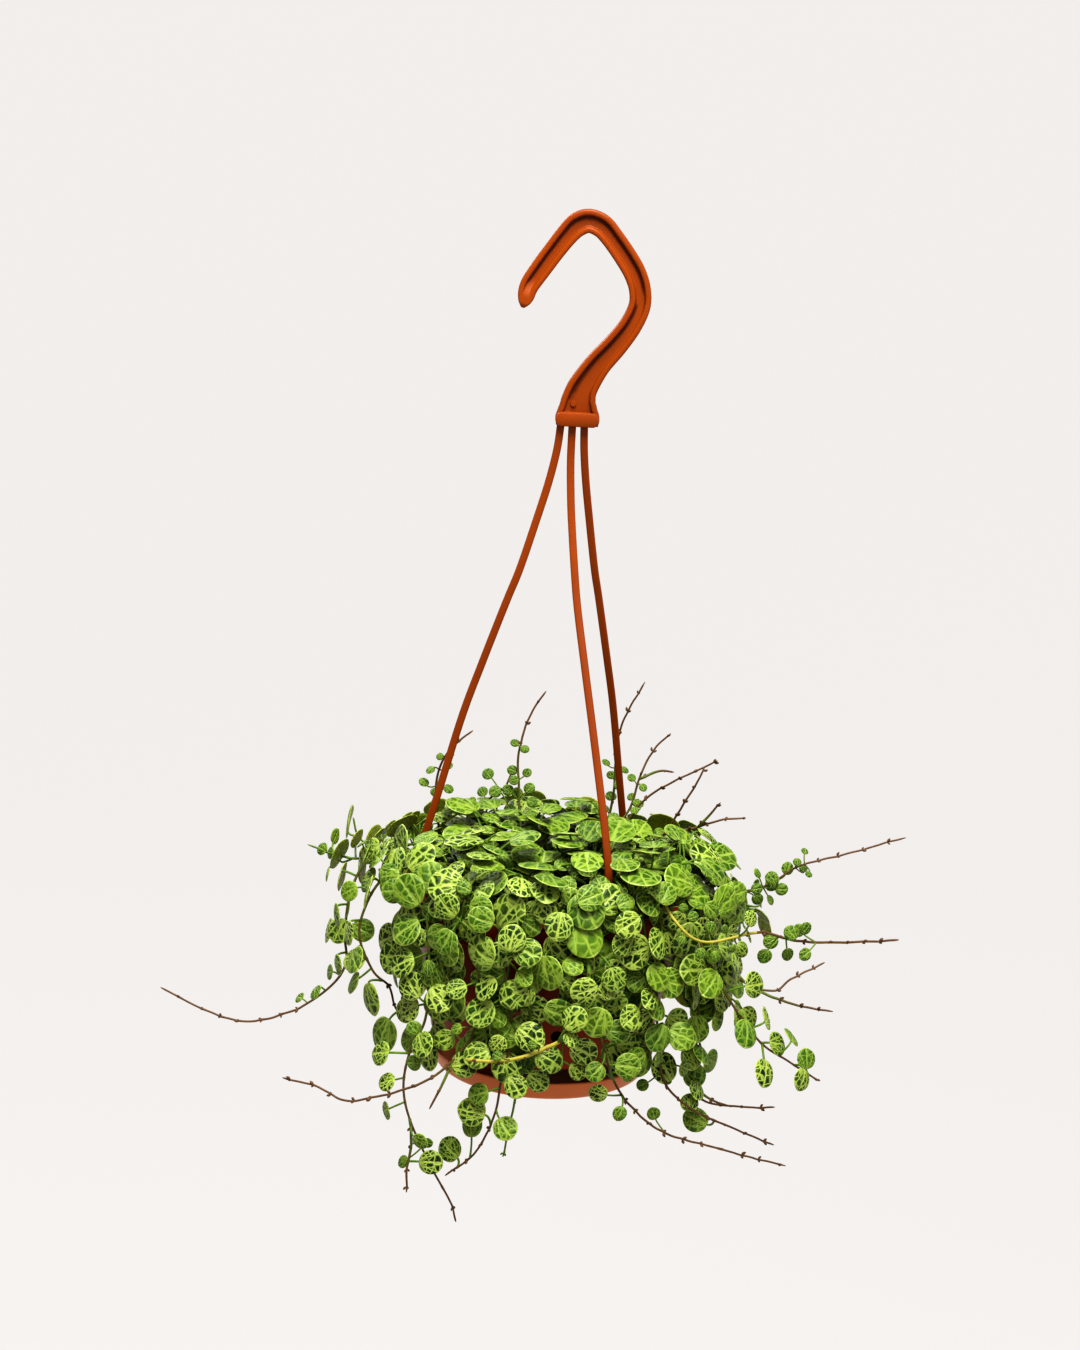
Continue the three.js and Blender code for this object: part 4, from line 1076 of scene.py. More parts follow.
def plastic_finish(name, colour, shade, sheen):
    """Moulded plastic: a little uneven in colour, with faint flow marks and scuffs, and painted shade in
    creases, where the crease mark is set.
    """
    finish = Finish(name)
    place = finish.place()
    broad = finish.cloud(place, 14.0, 3.0)
    fine = finish.cloud(place, 240.0, 4.0)
    scuffs = finish.step(finish.cloud(place, 60.0, 6.0, 0.7), 0.58, 0.75)
    base = finish.blend(finish.step(broad, 0.3, 0.7), tint(shade), tint(colour))
    base = finish.blend(scuffs * 0.1, base, tint("a8684c"))
    # Painted shadow: where the crease mark is set, the colour goes toward dark brown.
    base = finish.blend(finish.step(finish.mark("crease")[0], 0.62, 0.95) * 0.8, base, tint("3a1000"))
    return finish.surface(
        Base_Color=base, Roughness=sheen + 0.1 * (fine - 0.5) + 0.12 * scuffs,
        Normal=finish.bump(fine, 0.00008, 0.25), Specular_IOR_Level=0.16,
    )


def soil_finish():
    finish = Finish("potting_mix")
    place = finish.place()
    crumbs = finish.node("TexVoronoi", None, {"Vector": place, "Scale": 420.0}, "Distance")
    fine = finish.cloud(place, 700.0, 5.0, 0.65)
    base = finish.blend(fine, tint("1c120b"), tint("3d2a1c"))
    fibre = finish.step(finish.cloud(place, 160.0, 6.0, 0.8), 0.6, 0.7)
    base = finish.blend(fibre * 0.5, base, tint("5d4630"))
    return finish.surface(
        Base_Color=base, Roughness=0.95, Normal=finish.bump(crumbs + fine * 0.6, 0.0009, 0.9),
        Specular_IOR_Level=0.2,
    )


# Leaves: a round, plump blade with a short tip, on a grid of rings and spokes
def blade_grid(shares, spokes):
    """The blade's rings of points, at shares of its radius from the top's middle to the rim and, as
    negative shares, back to the underside's middle."""
    rings = len(shares)
    last = 1 + rings * spokes
    start = last - spokes
    faces = fan_faces(rings, spokes)
    faces += [(last, start + (side + 1) % spokes, start + side) for side in range(spokes)]
    radial = np.concatenate([[0], np.repeat([abs(share) for share in shares], spokes), [0]])
    angles = np.concatenate([[0], np.tile(np.arange(spokes) * 2 * math.pi / spokes, rings), [0]])
    levels = [0.0 if share == 1 else math.copysign(1, share) for share in shares]
    sides = np.concatenate([[1.0], np.repeat(levels, spokes), [-1.0]])
    return radial, angles, sides, faces


LARGE_BLADE = blade_grid((0.2, 0.42, 0.62, 0.79, 0.91, 0.975, 1, -0.96, -0.8, -0.45), 26)
SMALL_BLADE = blade_grid((0.4, 0.72, 0.92, 1, -0.88, -0.5), 14)
TINY_BLADE = blade_grid((0.5, 0.88, 1, -0.7), 8)
LARGE_BLADE_FROM = 3.6
SMALL_BLADE_FROM = 1.8


def blade(leaf, draw):
    """Points and marks of one blade."""
    grid = TINY_BLADE
    if leaf.radius > LARGE_BLADE_FROM:
        grid = LARGE_BLADE
    elif leaf.radius > SMALL_BLADE_FROM:
        grid = SMALL_BLADE
    radial, angles, sides, faces = grid
    wrapped = np.minimum(angles, 2 * math.pi - angles)
    tip = 0.02 + 0.05 * draw()
    outline = 1 + tip * np.exp(-(wrapped / 0.3) ** 2) - 0.05 * np.exp(-((math.pi - wrapped) / 0.42) ** 2)
    outline += 0.012 * np.sin(3 * angles + 6 * draw()) - 0.01
    x = radial * outline * np.cos(angles)
    y = radial * outline * np.sin(angles) * (0.93 + 0.08 * draw())
    plump = leaf.radius / 7
    dome = (0.15 + 0.5 * draw()) * plump * (1 - radial ** 2)
    cup = (draw() - 0.6) * 0.7 * plump * y ** 2
    droop = -(0.1 + 0.5 * draw()) * plump * np.maximum(x, 0) ** 2
    wave = 0.12 * plump * radial ** 3 * np.sin(4 * angles + 6 * draw())
    half = (0.3 + 0.2 * plump) * np.sqrt(np.maximum(1 - radial ** 4, 0))
    crease = -0.16 * plump * np.exp(-(y / 0.12) ** 2) * (sides > 0) * (1 - radial ** 4)
    lift = dome + cup + droop + wave + half * sides + crease
    forward = np.array(leaf.forward)
    facing = np.array(leaf.facing)
    across = np.cross(facing, forward)
    places = np.array(leaf.middle) + np.outer(x * leaf.radius, forward)
    places = places + np.outer(y * leaf.radius, across) + np.outer(lift, facing)
    return places, faces, x, y, sides


def petiole_line(leaf, girth):
    """The petiole's bent line, from inside the stem into the blade."""
    root = np.array(leaf.root)
    joint = np.array(leaf.joint)
    forward = np.array(leaf.forward)
    facing = np.array(leaf.facing)
    start = root + np.array(leaf.stalk) * girth * 0.2
    end = joint + forward * 0.7 - facing * 0.25
    reach = np.linalg.norm(end - start)
    bend = joint - forward * 0.3 * reach - facing * 0.12 * reach
    shares = np.linspace(0, 1, 6)[:, None]
    return (1 - shares) ** 2 * start + 2 * shares * (1 - shares) * bend + shares ** 2 * end


# Stems with a golden stretch: the shares of the length where it starts and ends. Without one, it
# starts beyond the tip.
GOLDEN_STEMS = {"stem_front_cross": (0.7, 1.1), "stem_right_yellow": (0.3, 0.66)}
NOT_GOLDEN = (2, 2)
# The share of plain leaves by kind of stem, and how much thicker single stems are than their kind
PLAIN_SHARES = {"crown": 0.7, "back": 0.5, "column": 0.4, "trailing": 0.35}
STEM_BULK = {"stem_front_cross": 1.35, "stem_right_yellow": 1.2}
BROWN_KINDS = ("wisp", "bare")
GREEN_KINDS = [kind for kind in KINDS if kind not in BROWN_KINDS]
FINE_LEAF = 3.4

# How low the front's and left side's leaves hang, between two azimuths
WALL_FEET = (
    (-220, -136, 76), (-136, -120, 32), (-120, -94, 15), (-94, -66, 36), (-66, -54, 16), (-54, -28, 44),
    (-28, 15, 26),
)
LOWEST_FOOT = 14
# Places on the plant's outer face: the share on its top, the share there or just over the rim, the
# top's radius, and where the front starts and how far it goes in degrees
TOP_SHARE = 0.34
RIM_SHARE = 0.56
TOP_RADIUS = 62
FRONT_FROM = -138
FRONT_SPAN = 153
# Single leaves that stand out, with their radii, held toward the front by whatever stem is near
SINGLE_LEAVES = (
    (-49, -34, 87, 8.4), (-45, -43, 82, 8), (-43, -52, 74, 7), (-23, -50, 86, 7.4), (-16, -58, 80, 7.2),
    (-7, -48, 88, 7.2), (8, -66, 77, 6.6), (0, -20, 93, 6.4), (-1, -66, 72, 6.4), (-27, -68, 69, 6.8),
    (-40, -66, 65, 6), (-14, -72, 64, 7.4), (-57, -35, 60, 6.8), (-69, -24, 72, 6.1), (-79, -14, 65, 5.2),
    (-84, -10, 47, 5.4), (-74, -16, 49, 5.2), (-76, -24, 40, 5.4), (-66, -26, 42, 4.4), (-69, 18, 83, 3.8),
    (-89, 12, 73, 3.2), (-94, 12, 74, 2.9), (-64, 16, 87, 3.9), (-50, -61, 26, 3.3), (-49, -62, 12, 3.3),
    (-34, -58, -25, 5.3), (-41, -61, -29, 5), (-43, -58, -23, 2.2), (-26, -70, -3, 5.8), (-25, -66, -11, 4.8),
    (22, -67, 6, 3.9), (82, -44, 34, 7.4), (93, -40, 20, 5.2), (105, -37, 13, 4.3), (60, -40, 12, 5.4),
    (63, -36, 4, 5.7), (61, -38, -4, 4.8), (63, -34, -16, 5.3), (58, -33, -22, 3.9), (48, -45, 10, 6.8),
    (53, -45, 22, 6), (56, -45, 42, 6.4), (60, -41, 25, 6.4), (45, -49, -9, 2.9), (40, -51, 3, 2.9),
    (36, -53, 11, 2.9), (-24, 28, 98, 2.8), (-19, 26, 92, 2.6), (-16, 27, 98, 2.6), (-18, 28, 108, 2.3),
    (-13, 28, 108, 2.3), (-11, 26, 101, 2.5), (-10, 24, 96, 2.5), (82, -32, 67, 3.6), (88, -38, 62, 3.2),
    (77, -32, 70, 3.6), (68, -36, 71, 3.8), (85, -42, 58, 3.2), (76, -44, 60, 3.4), (94, -38, 57, 2.8),
    (58, -34, 78, 4), (70, -44, 62, 3.6), (64, -50, 58, 3.8), (99, -36, 66, 2.8), (96, 2, 80, 2.8),
    (90, 2, 73, 3), (94, -1, 72, 2.8), (84, -1, 72, 2.6), (-17, -82, 25, 2.2), (-4, -82, 30, 2),
    (14, -73, 61, 5.8), (15, -79, 52, 5.6), (11, -82, 42, 5.4), (9, -83, 35, 4.2), (3, -72, 24, 5),
    (-31, 8, 94, 7), (17, -12, 95, 7.2), (-9, -16, 94, 6.6), (-13, 10, 95, 6.8), (34, -4, 93, 6.8),
    (-25, -10, 94, 6.8), (9, -38, 91, 7), (-38, -14, 92, 7), (28, -34, 89, 6.8), (-14, -34, 92, 6.6),
    (44, -24, 86, 6.4), (30, -52, 77, 6), (46, -44, 72, 5.6),
)
SINGLES_TOP = 120
# Rounds of leaves brought to the gaps: seed, tries, radii, spread, depth, and whether in front alone
SHINGLES = (
    (411, 4000, (8.4, 6.6), 0.4, 7, True), (422, 6000, (7.4, 4.8), 0.34, 9, False),
    (433, 4500, (6.2, 4), 0.3, 6, True),
)


def bud(sheaf, point, along, aside, size, tone, seed):
    """A small pointed bud held close to the stem."""
    way = unit(add(along, aside, 0.9))
    line = np.array([add(add(point, aside, 0.2), way, size * share) for share in (0, 0.25, 0.55, 0.85, 1)])
    girths = np.array([0.14, 0.3, 0.34, 0.18, 0.03]) * size * 0.9
    sheaf.add(tube(line, girths, 6), tube_faces(len(line), 6), stem_look=(0.9, tone, seed))


def stem_of(sheaf, run, tone, bulk, golden, draw):
    """The stem's tube with swollen nodes, slightly bent at each, and with buds where it is bare."""
    spine = run.spine
    steps = max(12, int(spine.total / STEM_STEP))
    line = np.array([curve_point(spine.points, i / steps) for i in range(steps + 1)])
    shares = np.linspace(0, 1, steps + 1)
    thickness, taper = (0.86, 0.36) if run.kind in BROWN_KINDS else (0.7, 0.32)
    girth = run.girth * bulk * (thickness - taper * shares)
    nodes = [leaf.root for leaf in run.leaves]
    distance = max(run.leafy, 0.12) * spine.total
    swing = 1
    while distance < spine.total:
        point, along = spine.at(min(distance, spine.total - 0.01))
        nodes.append(point)
        across = unit(cross(along, unit(stray(draw, 0.2))))
        gap = np.linalg.norm(line - np.array(point), axis=1)
        line = line + np.outer(np.exp(-(gap / 2.4) ** 2), across) * 0.3 * swing
        for side in (1, -1):
            length = 1.1 + 1.1 * draw()
            bud(sheaf, point, along, times(across, side), length, 1.0 if tone == 1 else 0.0, draw())
        swing = -swing
        distance += 7 + 4 * draw()
    for node in nodes:
        gap = np.linalg.norm(line - np.array(node), axis=1)
        swell = run.girth * bulk * 0.74 * np.exp(-(gap / 0.9) ** 2) * (0.75 + 0.25 * (1 - shares))
        girth = np.maximum(girth, swell)
    girth[-1] *= 0.5
    tones = np.full_like(shares, tone)
    tones[shares < golden[0]] = min(tone, 0.0 if golden[0] < 1 else tone)
    tones[(shares >= golden[0]) & (shares <= golden[1])] = 2.0
    look = np.stack([shares, tones, np.full_like(shares, draw())], axis=1)
    look = np.repeat(look, STEM_SIDES, axis=0)
    sheaf.add(tube(line, girth, STEM_SIDES), tube_faces(steps + 1, STEM_SIDES), stem_look=look)
    for leaf in run.leaves:
        stalk = petiole_line(leaf, run.girth)
        thick = min(0.42, 0.16 + leaf.radius * 0.05)
        girths = np.linspace(thick * 1.15, thick, len(stalk))
        leaf_tone = 1.0 if tone == 1 and leaf.radius < 2.5 else 0.0
        sheaf.add(tube(stalk, girths, 6), tube_faces(len(stalk), 6), stem_look=(0.2, leaf_tone, draw()))


def tilted(leaf):
    """A fine stem's leaf, turned so that its face shows more from the front."""
    facing = unit(add(leaf.facing, FRONT, 0.9))
    forward = square_to(leaf.forward, facing)
    middle = add(leaf.joint, forward, BLADE_REACH * leaf.radius)
    return Leaf(leaf.root, leaf.joint, middle, facing, forward, leaf.radius, leaf.stalk)


def dress_stem(index, name, runs, leaf_material, stem_material):
    """One piece for the stem with its petioles, and one for its blades."""
    draw = draws_for("looks", index)
    leaves = Sheaf()
    stems = Sheaf()
    for order, run in enumerate(runs):
        if run.kind == "wisp":
            run.leaves = [tilted(leaf) if leaf.radius < FINE_LEAF else leaf for leaf in run.leaves]
        woody = run.kind in BROWN_KINDS or order == 0 and run.kind in ("trailing", "column")
        golden = GOLDEN_STEMS.get(name, NOT_GOLDEN)
        stem_of(stems, run, 1.0 if woody else 0.0, STEM_BULK.get(name, 1.0), golden, draw)
        plain = PLAIN_SHARES.get(run.kind, 0.32)
        for leaf in run.leaves:
            places, faces, x, y, sides = blade(leaf, draw)
            plain_one = draw() < plain + 0.2 * (leaf.middle[2] > 76)
            old = 0.65 + 0.35 * draw() if plain_one else 0.4 * draw()
            shade = draw()
            seed = draw()
            if leaf.radius < FINE_LEAF:
                old = 0.8 + 0.2 * old
                shade *= 0.3
            leaf_place = np.stack([x, y, np.full_like(x, seed)], axis=1)
            leaf_look = np.stack([np.full_like(x, old), sides, np.full_like(x, shade)], axis=1)
            leaves.add(places, faces, leaf_place=leaf_place, leaf_look=leaf_look)
    settle_piece(name + "_stem", stems.mesh(name + "_stem"), stem_material, [name])
    if leaves.count:
        settle_piece(name + "_leaves", leaves.mesh(name + "_leaves"), leaf_material, [name])


def wall_foot(azimuth):
    """How low the leaves hang in front of the wall."""
    start = WALL_FEET[0][0]
    azimuth = (azimuth - start) % 360 + start
    return next((height for low, high, height in WALL_FEET if low <= azimuth < high), LOWEST_FOOT)


def canopy_place(draw, front):
    """A place on the outer face of the plant, over the soil or outside the wall."""
    kind = draw()
    if kind < TOP_SHARE:
        radius = TOP_RADIUS * math.sqrt(draw())
        return polar(360 * draw(), radius, 72 + 21 * draw() - 8 * (radius / TOP_RADIUS) ** 2)
    azimuth = FRONT_FROM + FRONT_SPAN * draw() if front else 360 * draw()
    lowest = wall_foot(azimuth)
    if kind < RIM_SHARE:
        return polar(azimuth, 55 + 16 * draw(), max(69 + 16 * draw(), lowest))
    return polar(azimuth, 63 + 14 * draw(), lowest + (80 - lowest) * draw())


def shingle(plan, crowd, start, tries, sizes, spread, depth, front):
    """Leaves brought to wherever the outer face of the plant still shows a gap."""
    draw = seeded(start)
    large, small = sizes
    owners = carriers(plan, GREEN_KINDS, (COVER_LOW, math.inf), COVER_REACH)
    marks = np.array([mark for mark, _, _ in owners])
    for _ in range(tries):
        spot = canopy_place(draw, front)
        outward = outward_at(spot)
        frontal = add(outward, FRONT, 0.75 * smooth(-spot[1], -30, 30))
        size = small + (large - small) * draw()
        for attempt in range(SHINGLE_TRIES):
            place = add(spot, outward, 4 * (draw() - 0.5))
            radius = size * 0.93 ** attempt
            facing = unit(add(frontal, stray(draw, 0.2), 0.6))
            bend = stray(draw, 0.9)
            choice = int(draw() * SHINGLE_CHOICE)
            if stacked(place, facing, radius, crowd, spread, depth):
                continue
            root, name, run = near_carrier(owners, marks, place, choice)
            forward = square_to(add(unit(add(place, root, -1)), bend, 0.8), facing)
            leaf = held_leaf(root, place, facing, forward, radius)
            if not SHORTEST_STALK <= apart(leaf.joint, root) <= LONGEST_STALK:
                continue
            if keep_leaf(leaf, run, crowd, name):
                break


def set_singles(plan, crowd):
    """The single leaves that stand out, each moved a little where it has no room."""
    owners = carriers(plan, KINDS, (-math.inf, SINGLES_TOP))
    marks = np.array([mark for mark, _, _ in owners])
    draw = draws_for("singles")
    for x, y, z, radius in SINGLE_LEAVES:
        lift = smooth(z, 80, 90)
        frontal = (x / 150, 0.35 * lift - 1, 0.3 + 0.45 * lift)
        for attempt in range(SINGLE_TRIES):
            shift = (draw() - 0.5, draw() - 0.7, draw() - 0.5)
            place = add((x, y, z), shift, 1 + 0.1 * attempt)
            facing = unit(add(frontal, stray(draw), 0.9 - 0.3 * lift))
            size = radius * 0.995 ** attempt
            root, name, run = near_carrier(owners, marks, place, int(draw() * SINGLE_CHOICE))
            forward = square_to(add(unit(add(place, root, -1)), stray(draw, 0.8), 0.8), facing)
            leaf = held_leaf(root, place, facing, forward, size)
            if not 1 <= apart(leaf.joint, root) <= min(LONGEST_STALK, 3 + 1.5 * size):
                continue
            if keep_leaf(leaf, run, crowd, name):
                break


def across_pair(leaf, along):
    """The leaf that stands opposite on the same node."""
    reach = add(leaf.joint, leaf.root, -1)
    joint = add(leaf.root, add(times(along, 2 * dot(reach, along)), reach, -1))
    forward = add(times(along, 2 * dot(leaf.forward, along)), leaf.forward, -1)
    forward = square_to(forward, leaf.facing)
    middle = add(joint, forward, BLADE_REACH * leaf.radius)
    return Leaf(leaf.root, joint, middle, leaf.facing, forward, leaf.radius, unit(add(joint, leaf.root, -1)))


def try_sides(run, distance, size, shrink, crowd, stem, draw, fits=None):
    """A leaf at a distance along the stem, on whichever side it has room."""
    point, along = run.spine.at(distance)
    for attempt in range(SIDE_TRIES):
        side = 1 if draw() < 0.5 else -1
        leaf = leaf_trial(run, point, along, side, size * shrink ** attempt, draw)
        if (fits is None or fits(leaf)) and keep_leaf(leaf, run, crowd, stem):
            return


def grow_pairs(plan, crowd):
    """Opposite leaves on the nodes of the fine stems, with more such nodes between."""
    for index, (name, runs) in enumerate(plan):
        draw = draws_for("pairs", index)
        run = runs[0]
        if run.kind != "wisp":
            continue
        settled = list(run.leaves)
        distance = 0.1 * run.spine.total
        while distance < run.leafy * run.spine.total:
            point, _ = run.spine.at(distance)
            size = 3.6 - 1.9 * (distance / run.spine.total / run.leafy)
            if all(apart(point, leaf.root) > 3.5 for leaf in settled):
                try_sides(run, distance, size, 0.94, crowd, name, draw)
            distance += 5.5 + 2 * draw()
        for leaf in list(run.leaves):
            gaps = [apart(leaf.root, mark) for mark in run.spine.marks]
            place = min(max(gaps.index(min(gaps)), 1), SPINE_SAMPLES - 1)
            along = unit(add(run.spine.marks[place + 1], run.spine.marks[place - 1], -1))
            keep_leaf(across_pair(leaf, along), run, crowd, name)


def above_foot(leaf):
    """Whether the leaf is over the soil, or no lower outside the wall than the leaves hang there."""
    x, y, z = leaf.middle
    return math.hypot(x, y) <= SOIL_REACH or z >= wall_foot(math.degrees(math.atan2(y, x)))


def fill_leaves(plan, crowd):
    """More leaves than the solids carry, wherever there is room on the leafy stems."""
    set_singles(plan, crowd)
    grow_pairs(plan, crowd)
    for row in SHINGLES:
        shingle(plan, crowd, *row)
    for index, (name, runs) in enumerate(plan):
        draw = draws_for("growth", index)
        for run in runs:
            if run.kind not in ("crown", "curtain", "back", "dense"):
                continue
            distance = run.first * run.spine.total
            while distance < run.leafy * run.spine.total - 2:
                share = (distance / run.spine.total - run.first) / (run.leafy - run.first)
                size = 0.92 * (run.large + (run.small - run.large) * max(share, 0) ** 2)
                try_sides(run, distance, size, 0.95, crowd, name, draw, above_foot)
                distance += run.spacing * 0.55


# The hanger
def hook_stations(count):
    """Places, directions and half widths along the hook's centreline."""
    rows = [tuple(map(float, row)) for row in HOOK_LINE]
    line = np.array([curve_point(rows, i / (count - 1)) for i in range(count)])
    return line[:, :2], directions(line[:, :2]), line[:, 2]


def hook_form(sheaf):
    """The hook's bar: a rounded rim along each edge and a hollow between them on both faces. The crease mark
    is 1 along the hollow's upper edge, where it paints a shadow line into the plastic's colour."""
    count = HOOK_STATIONS
    line, along, halves = hook_stations(count)
    deep = HOOK_THICKNESS / 2
    rings = []
    crease = []
    for i in range(count):
        half = halves[i]
        rim = min(HOOK_RIM, 0.55 * half)
        open_share = smooth(i, 4, 8) * smooth(count - 1 - i, 8, 18)
        hollow = deep - HOOK_RECESS * open_share
        round_end = math.sqrt(max(1 - ((i - (count - 5)) / 5) ** 2, 0.05)) if i > count - 5 else 1
        wall, foot = half - rim, half - rim - 0.35
        corners = [
            (half, -deep, 0.9), (half, deep, 0.9), (wall, deep, 0.7), (foot, hollow, 0.5),
            (-foot, hollow, 0.5), (-wall, deep, 0.7), (-half, deep, 0.9), (-half, -deep, 0.9),
            (-wall, -deep, 0.7), (-foot, -hollow, 0.5), (foot, -hollow, 0.5), (wall, -deep, 0.7),
        ]
        section = filleted(corners, 3) * round_end
        across = np.array((along[i][1], 0, -along[i][0]))
        middle = np.array((line[i][0], 0, line[i][1]))
        rings.append(middle + np.outer(section[:, 0], across) + np.outer(section[:, 1], (0, 1, 0)))
        # Painted shadow: the crease mark picks the hollow's floor beside its upper wall, the side that light
        # from above leaves in shade.
        deepest = np.abs(section[:, 1]) < hollow + 0.3
        lean = np.clip(-4 * along[i][0], -1, 1)
        upper = 0.5 + 0.5 * lean * np.sign(section[:, 0])
        crease.append(deepest * (np.abs(section[:, 0]) > wall - 0.9) * upper * open_share)
    look = np.repeat(np.concatenate(crease)[:, None], 3, axis=1)
    sheaf.add(np.concatenate(rings), tube_faces(count, len(rings[0])), crease=look)
    mark = tube([HOOK_MARK, add(HOOK_MARK, (0, 0.9, 0))], [1.1, 1.2], 20)
    sheaf.add(mark, tube_faces(2, 20), crease=0.0)


def plate_form(sheaf, outline, thickness, place, bevel=0.5):
    """An outline in two axes, with its thickness along the third and its edges rounded. The place turns
    (a, b, depth) into a point."""
    outline = filleted(outline, 4)
    middle = outline.mean(axis=0)
    half = thickness / 2
    levels = [(-half, bevel), (-half + bevel * 0.3, bevel * 0.3), (-half + bevel, 0),
              (half - bevel, 0), (half - bevel * 0.3, bevel * 0.3), (half, bevel)]
    direction = np.roll(outline, -1, axis=0) - np.roll(outline, 1, axis=0)
    direction /= np.linalg.norm(direction, axis=1)[:, None]
    inward = np.stack([-direction[:, 1], direction[:, 0]], axis=1)
    inward *= np.sign(((middle - outline) * inward).sum(axis=1).mean())
    points = []
    for depth, inset in levels:
        points += [place(a, b, depth) for a, b in outline + inward * inset]
    sheaf.add(np.array(points), tube_faces(len(levels), len(outline)), crease=0.0)


def strand_form(sheaf, index):
    """A flat strand from the flange to its clip."""
    points = strand_points(index)
    half_width, half_depth = STRAND_WIDTH / 2, STRAND_THICKNESS / 2
    section = filleted([(half_width, -half_depth, 0.7), (half_width, half_depth, 0.7),
                        (-half_width, half_depth, 0.7), (-half_width, -half_depth, 0.7)], 3)
    line = np.array([curve_point(points, i / STRAND_STEPS) for i in range(STRAND_STEPS + 1)])
    rings = []
    for place, forward in zip(line, directions(line)):
        across = np.array((1.0, 0, 0)) - forward * forward[0]
        across /= np.linalg.norm(across)
        out = np.cross(forward, across)
        rings.append(place + np.outer(section[:, 0], across) + np.outer(section[:, 1], out))
    sheaf.add(np.concatenate(rings), tube_faces(STRAND_STEPS + 1, len(section)), crease=0.0)


def hanger_mesh():
    """The hook, its flange, and the three strands with a collar above and a barb below the rim ledge."""
    sheaf = Sheaf()
    hook_form(sheaf)
    wide = FLANGE_HALF_WIDTH
    flange = [
        (-wide + 2, FLANGE_BOTTOM, 1), (wide - 2, FLANGE_BOTTOM, 1), (wide, FLANGE_BOTTOM + 2.4, 1.6),
        (wide - 1.6, FLANGE_TOP, 1.2), (-wide + 1.6, FLANGE_TOP, 1.2), (-wide, FLANGE_BOTTOM + 2.4, 1.6),
    ]
    plate_form(sheaf, flange, FLANGE_THICKNESS, lambda a, b, depth: (a, depth, b), 0.7)
    half = CLIP_WIDTH / 2
    under = RIM_TOP - LEDGE_THICKNESS - GAP
    collar = [(-half - 1.6, RIM_TOP + GAP, 0.4), (half + 1.6, RIM_TOP + GAP, 0.4),
              (half + 1.6, RIM_TOP + 2.2, 0.6), (-half - 1.6, RIM_TOP + 2.2, 0.6)]
    shank = [(-half, under - 3.6, 0.3), (half, under - 3.6, 0.3), (half + 1.7, under, 0.3),
             (half, under, 0.1), (half, RIM_TOP + 1, 0.1), (-half, RIM_TOP + 1, 0.1),
             (-half, under, 0.1), (-half - 1.7, under, 0.3)]
    for index, azimuth in enumerate(CLIP_AZIMUTHS):
        strand_form(sheaf, index)

        def at_foot(a, b, depth, azimuth=azimuth):
            return turned(azimuth, CLIP_RADIUS + depth, a, b)

        plate_form(sheaf, collar, CLIP_THICKNESS, at_foot, 0.3)
        plate_form(sheaf, shank, CLIP_THICKNESS, at_foot, 0.2)
    return sheaf.mesh("hanger_moulding")


# The pot and its saucer
def inner_wall_radius(z):
    if z < STEP_HEIGHT:
        return BASE_RADIUS + 2.1 - WALL + (z - BASE_HEIGHT - BASE_THICKNESS) * 0.15
    return STEP_RADIUS - WALL + (z - STEP_HEIGHT - 1.5) * 0.098


def pot_mesh():
    """The pot's shell with its rolled rim and stepped wall, and its slots and drains cut out."""
    ledge_under = RIM_TOP - LEDGE_THICKNESS
    base_top = BASE_HEIGHT + BASE_THICKNESS
    inside_rim = RIM_RADIUS - WALL - 0.2
    corners = [
        (0, BASE_HEIGHT, 0), (BASE_RADIUS, BASE_HEIGHT, 0.8), (BASE_RADIUS + 2.1, BASE_HEIGHT + 1.4, 1.2),
        (STEP_RADIUS - STEP_DEPTH, STEP_HEIGHT - 1, 0.5), (STEP_RADIUS, STEP_HEIGHT + 0.5, 0.7),
        (inner_wall_radius(ledge_under) + WALL, ledge_under, 0.4), (inside_rim, ledge_under, 0.4),
        (inside_rim, RIM_BOTTOM, 0.4), (RIM_RADIUS - 0.4, RIM_BOTTOM, 0.5),
        (RIM_RADIUS, RIM_TOP, 0.9), (inner_wall_radius(RIM_TOP), RIM_TOP, 0.5),
        (inner_wall_radius(STEP_HEIGHT + 1.5), STEP_HEIGHT + 1.5, 0.6),
        (inner_wall_radius(STEP_HEIGHT - 1), STEP_HEIGHT - 0.2, 0.6),
        (inner_wall_radius(base_top + 1), base_top + 1, 0.6), (BASE_RADIUS - 0.4, base_top, 0.4),
        (0, base_top, 0),
    ]
    mesh = lathed("pot_shell", filleted(corners), 160)
    clip_slot = (CLIP_THICKNESS + 2 * GAP, CLIP_WIDTH + 2 * GAP, 6)
    post_slot = (2 + 2 * GAP, POST_WIDTH + 2 * GAP, 6)
    forms = [block(clip_slot, (CLIP_RADIUS, 0, RIM_TOP - 1), azimuth) for azimuth in CLIP_AZIMUTHS]
    forms += [block(post_slot, (POST_RADIUS, 0, BASE_HEIGHT + 1), azimuth) for azimuth in POST_AZIMUTHS]
    for i in range(DRAIN_COUNT):
        azimuth = i * 360 / DRAIN_COUNT
        low, high = polar(azimuth, DRAIN_RING, BASE_HEIGHT - 2), polar(azimuth, DRAIN_RING, BASE_HEIGHT + 4)
        forms.append(drill(DRAIN_RADIUS, low, high))
    for azimuth in SIDE_DRAIN_AZIMUTHS:
        start = polar(azimuth, STEP_RADIUS - 7, SIDE_DRAIN_HEIGHT)
        end = polar(azimuth, STEP_RADIUS + 1, SIDE_DRAIN_HEIGHT)
        forms.append(drill(SIDE_DRAIN_RADIUS, start, end))
    return cut_away(mesh, forms)


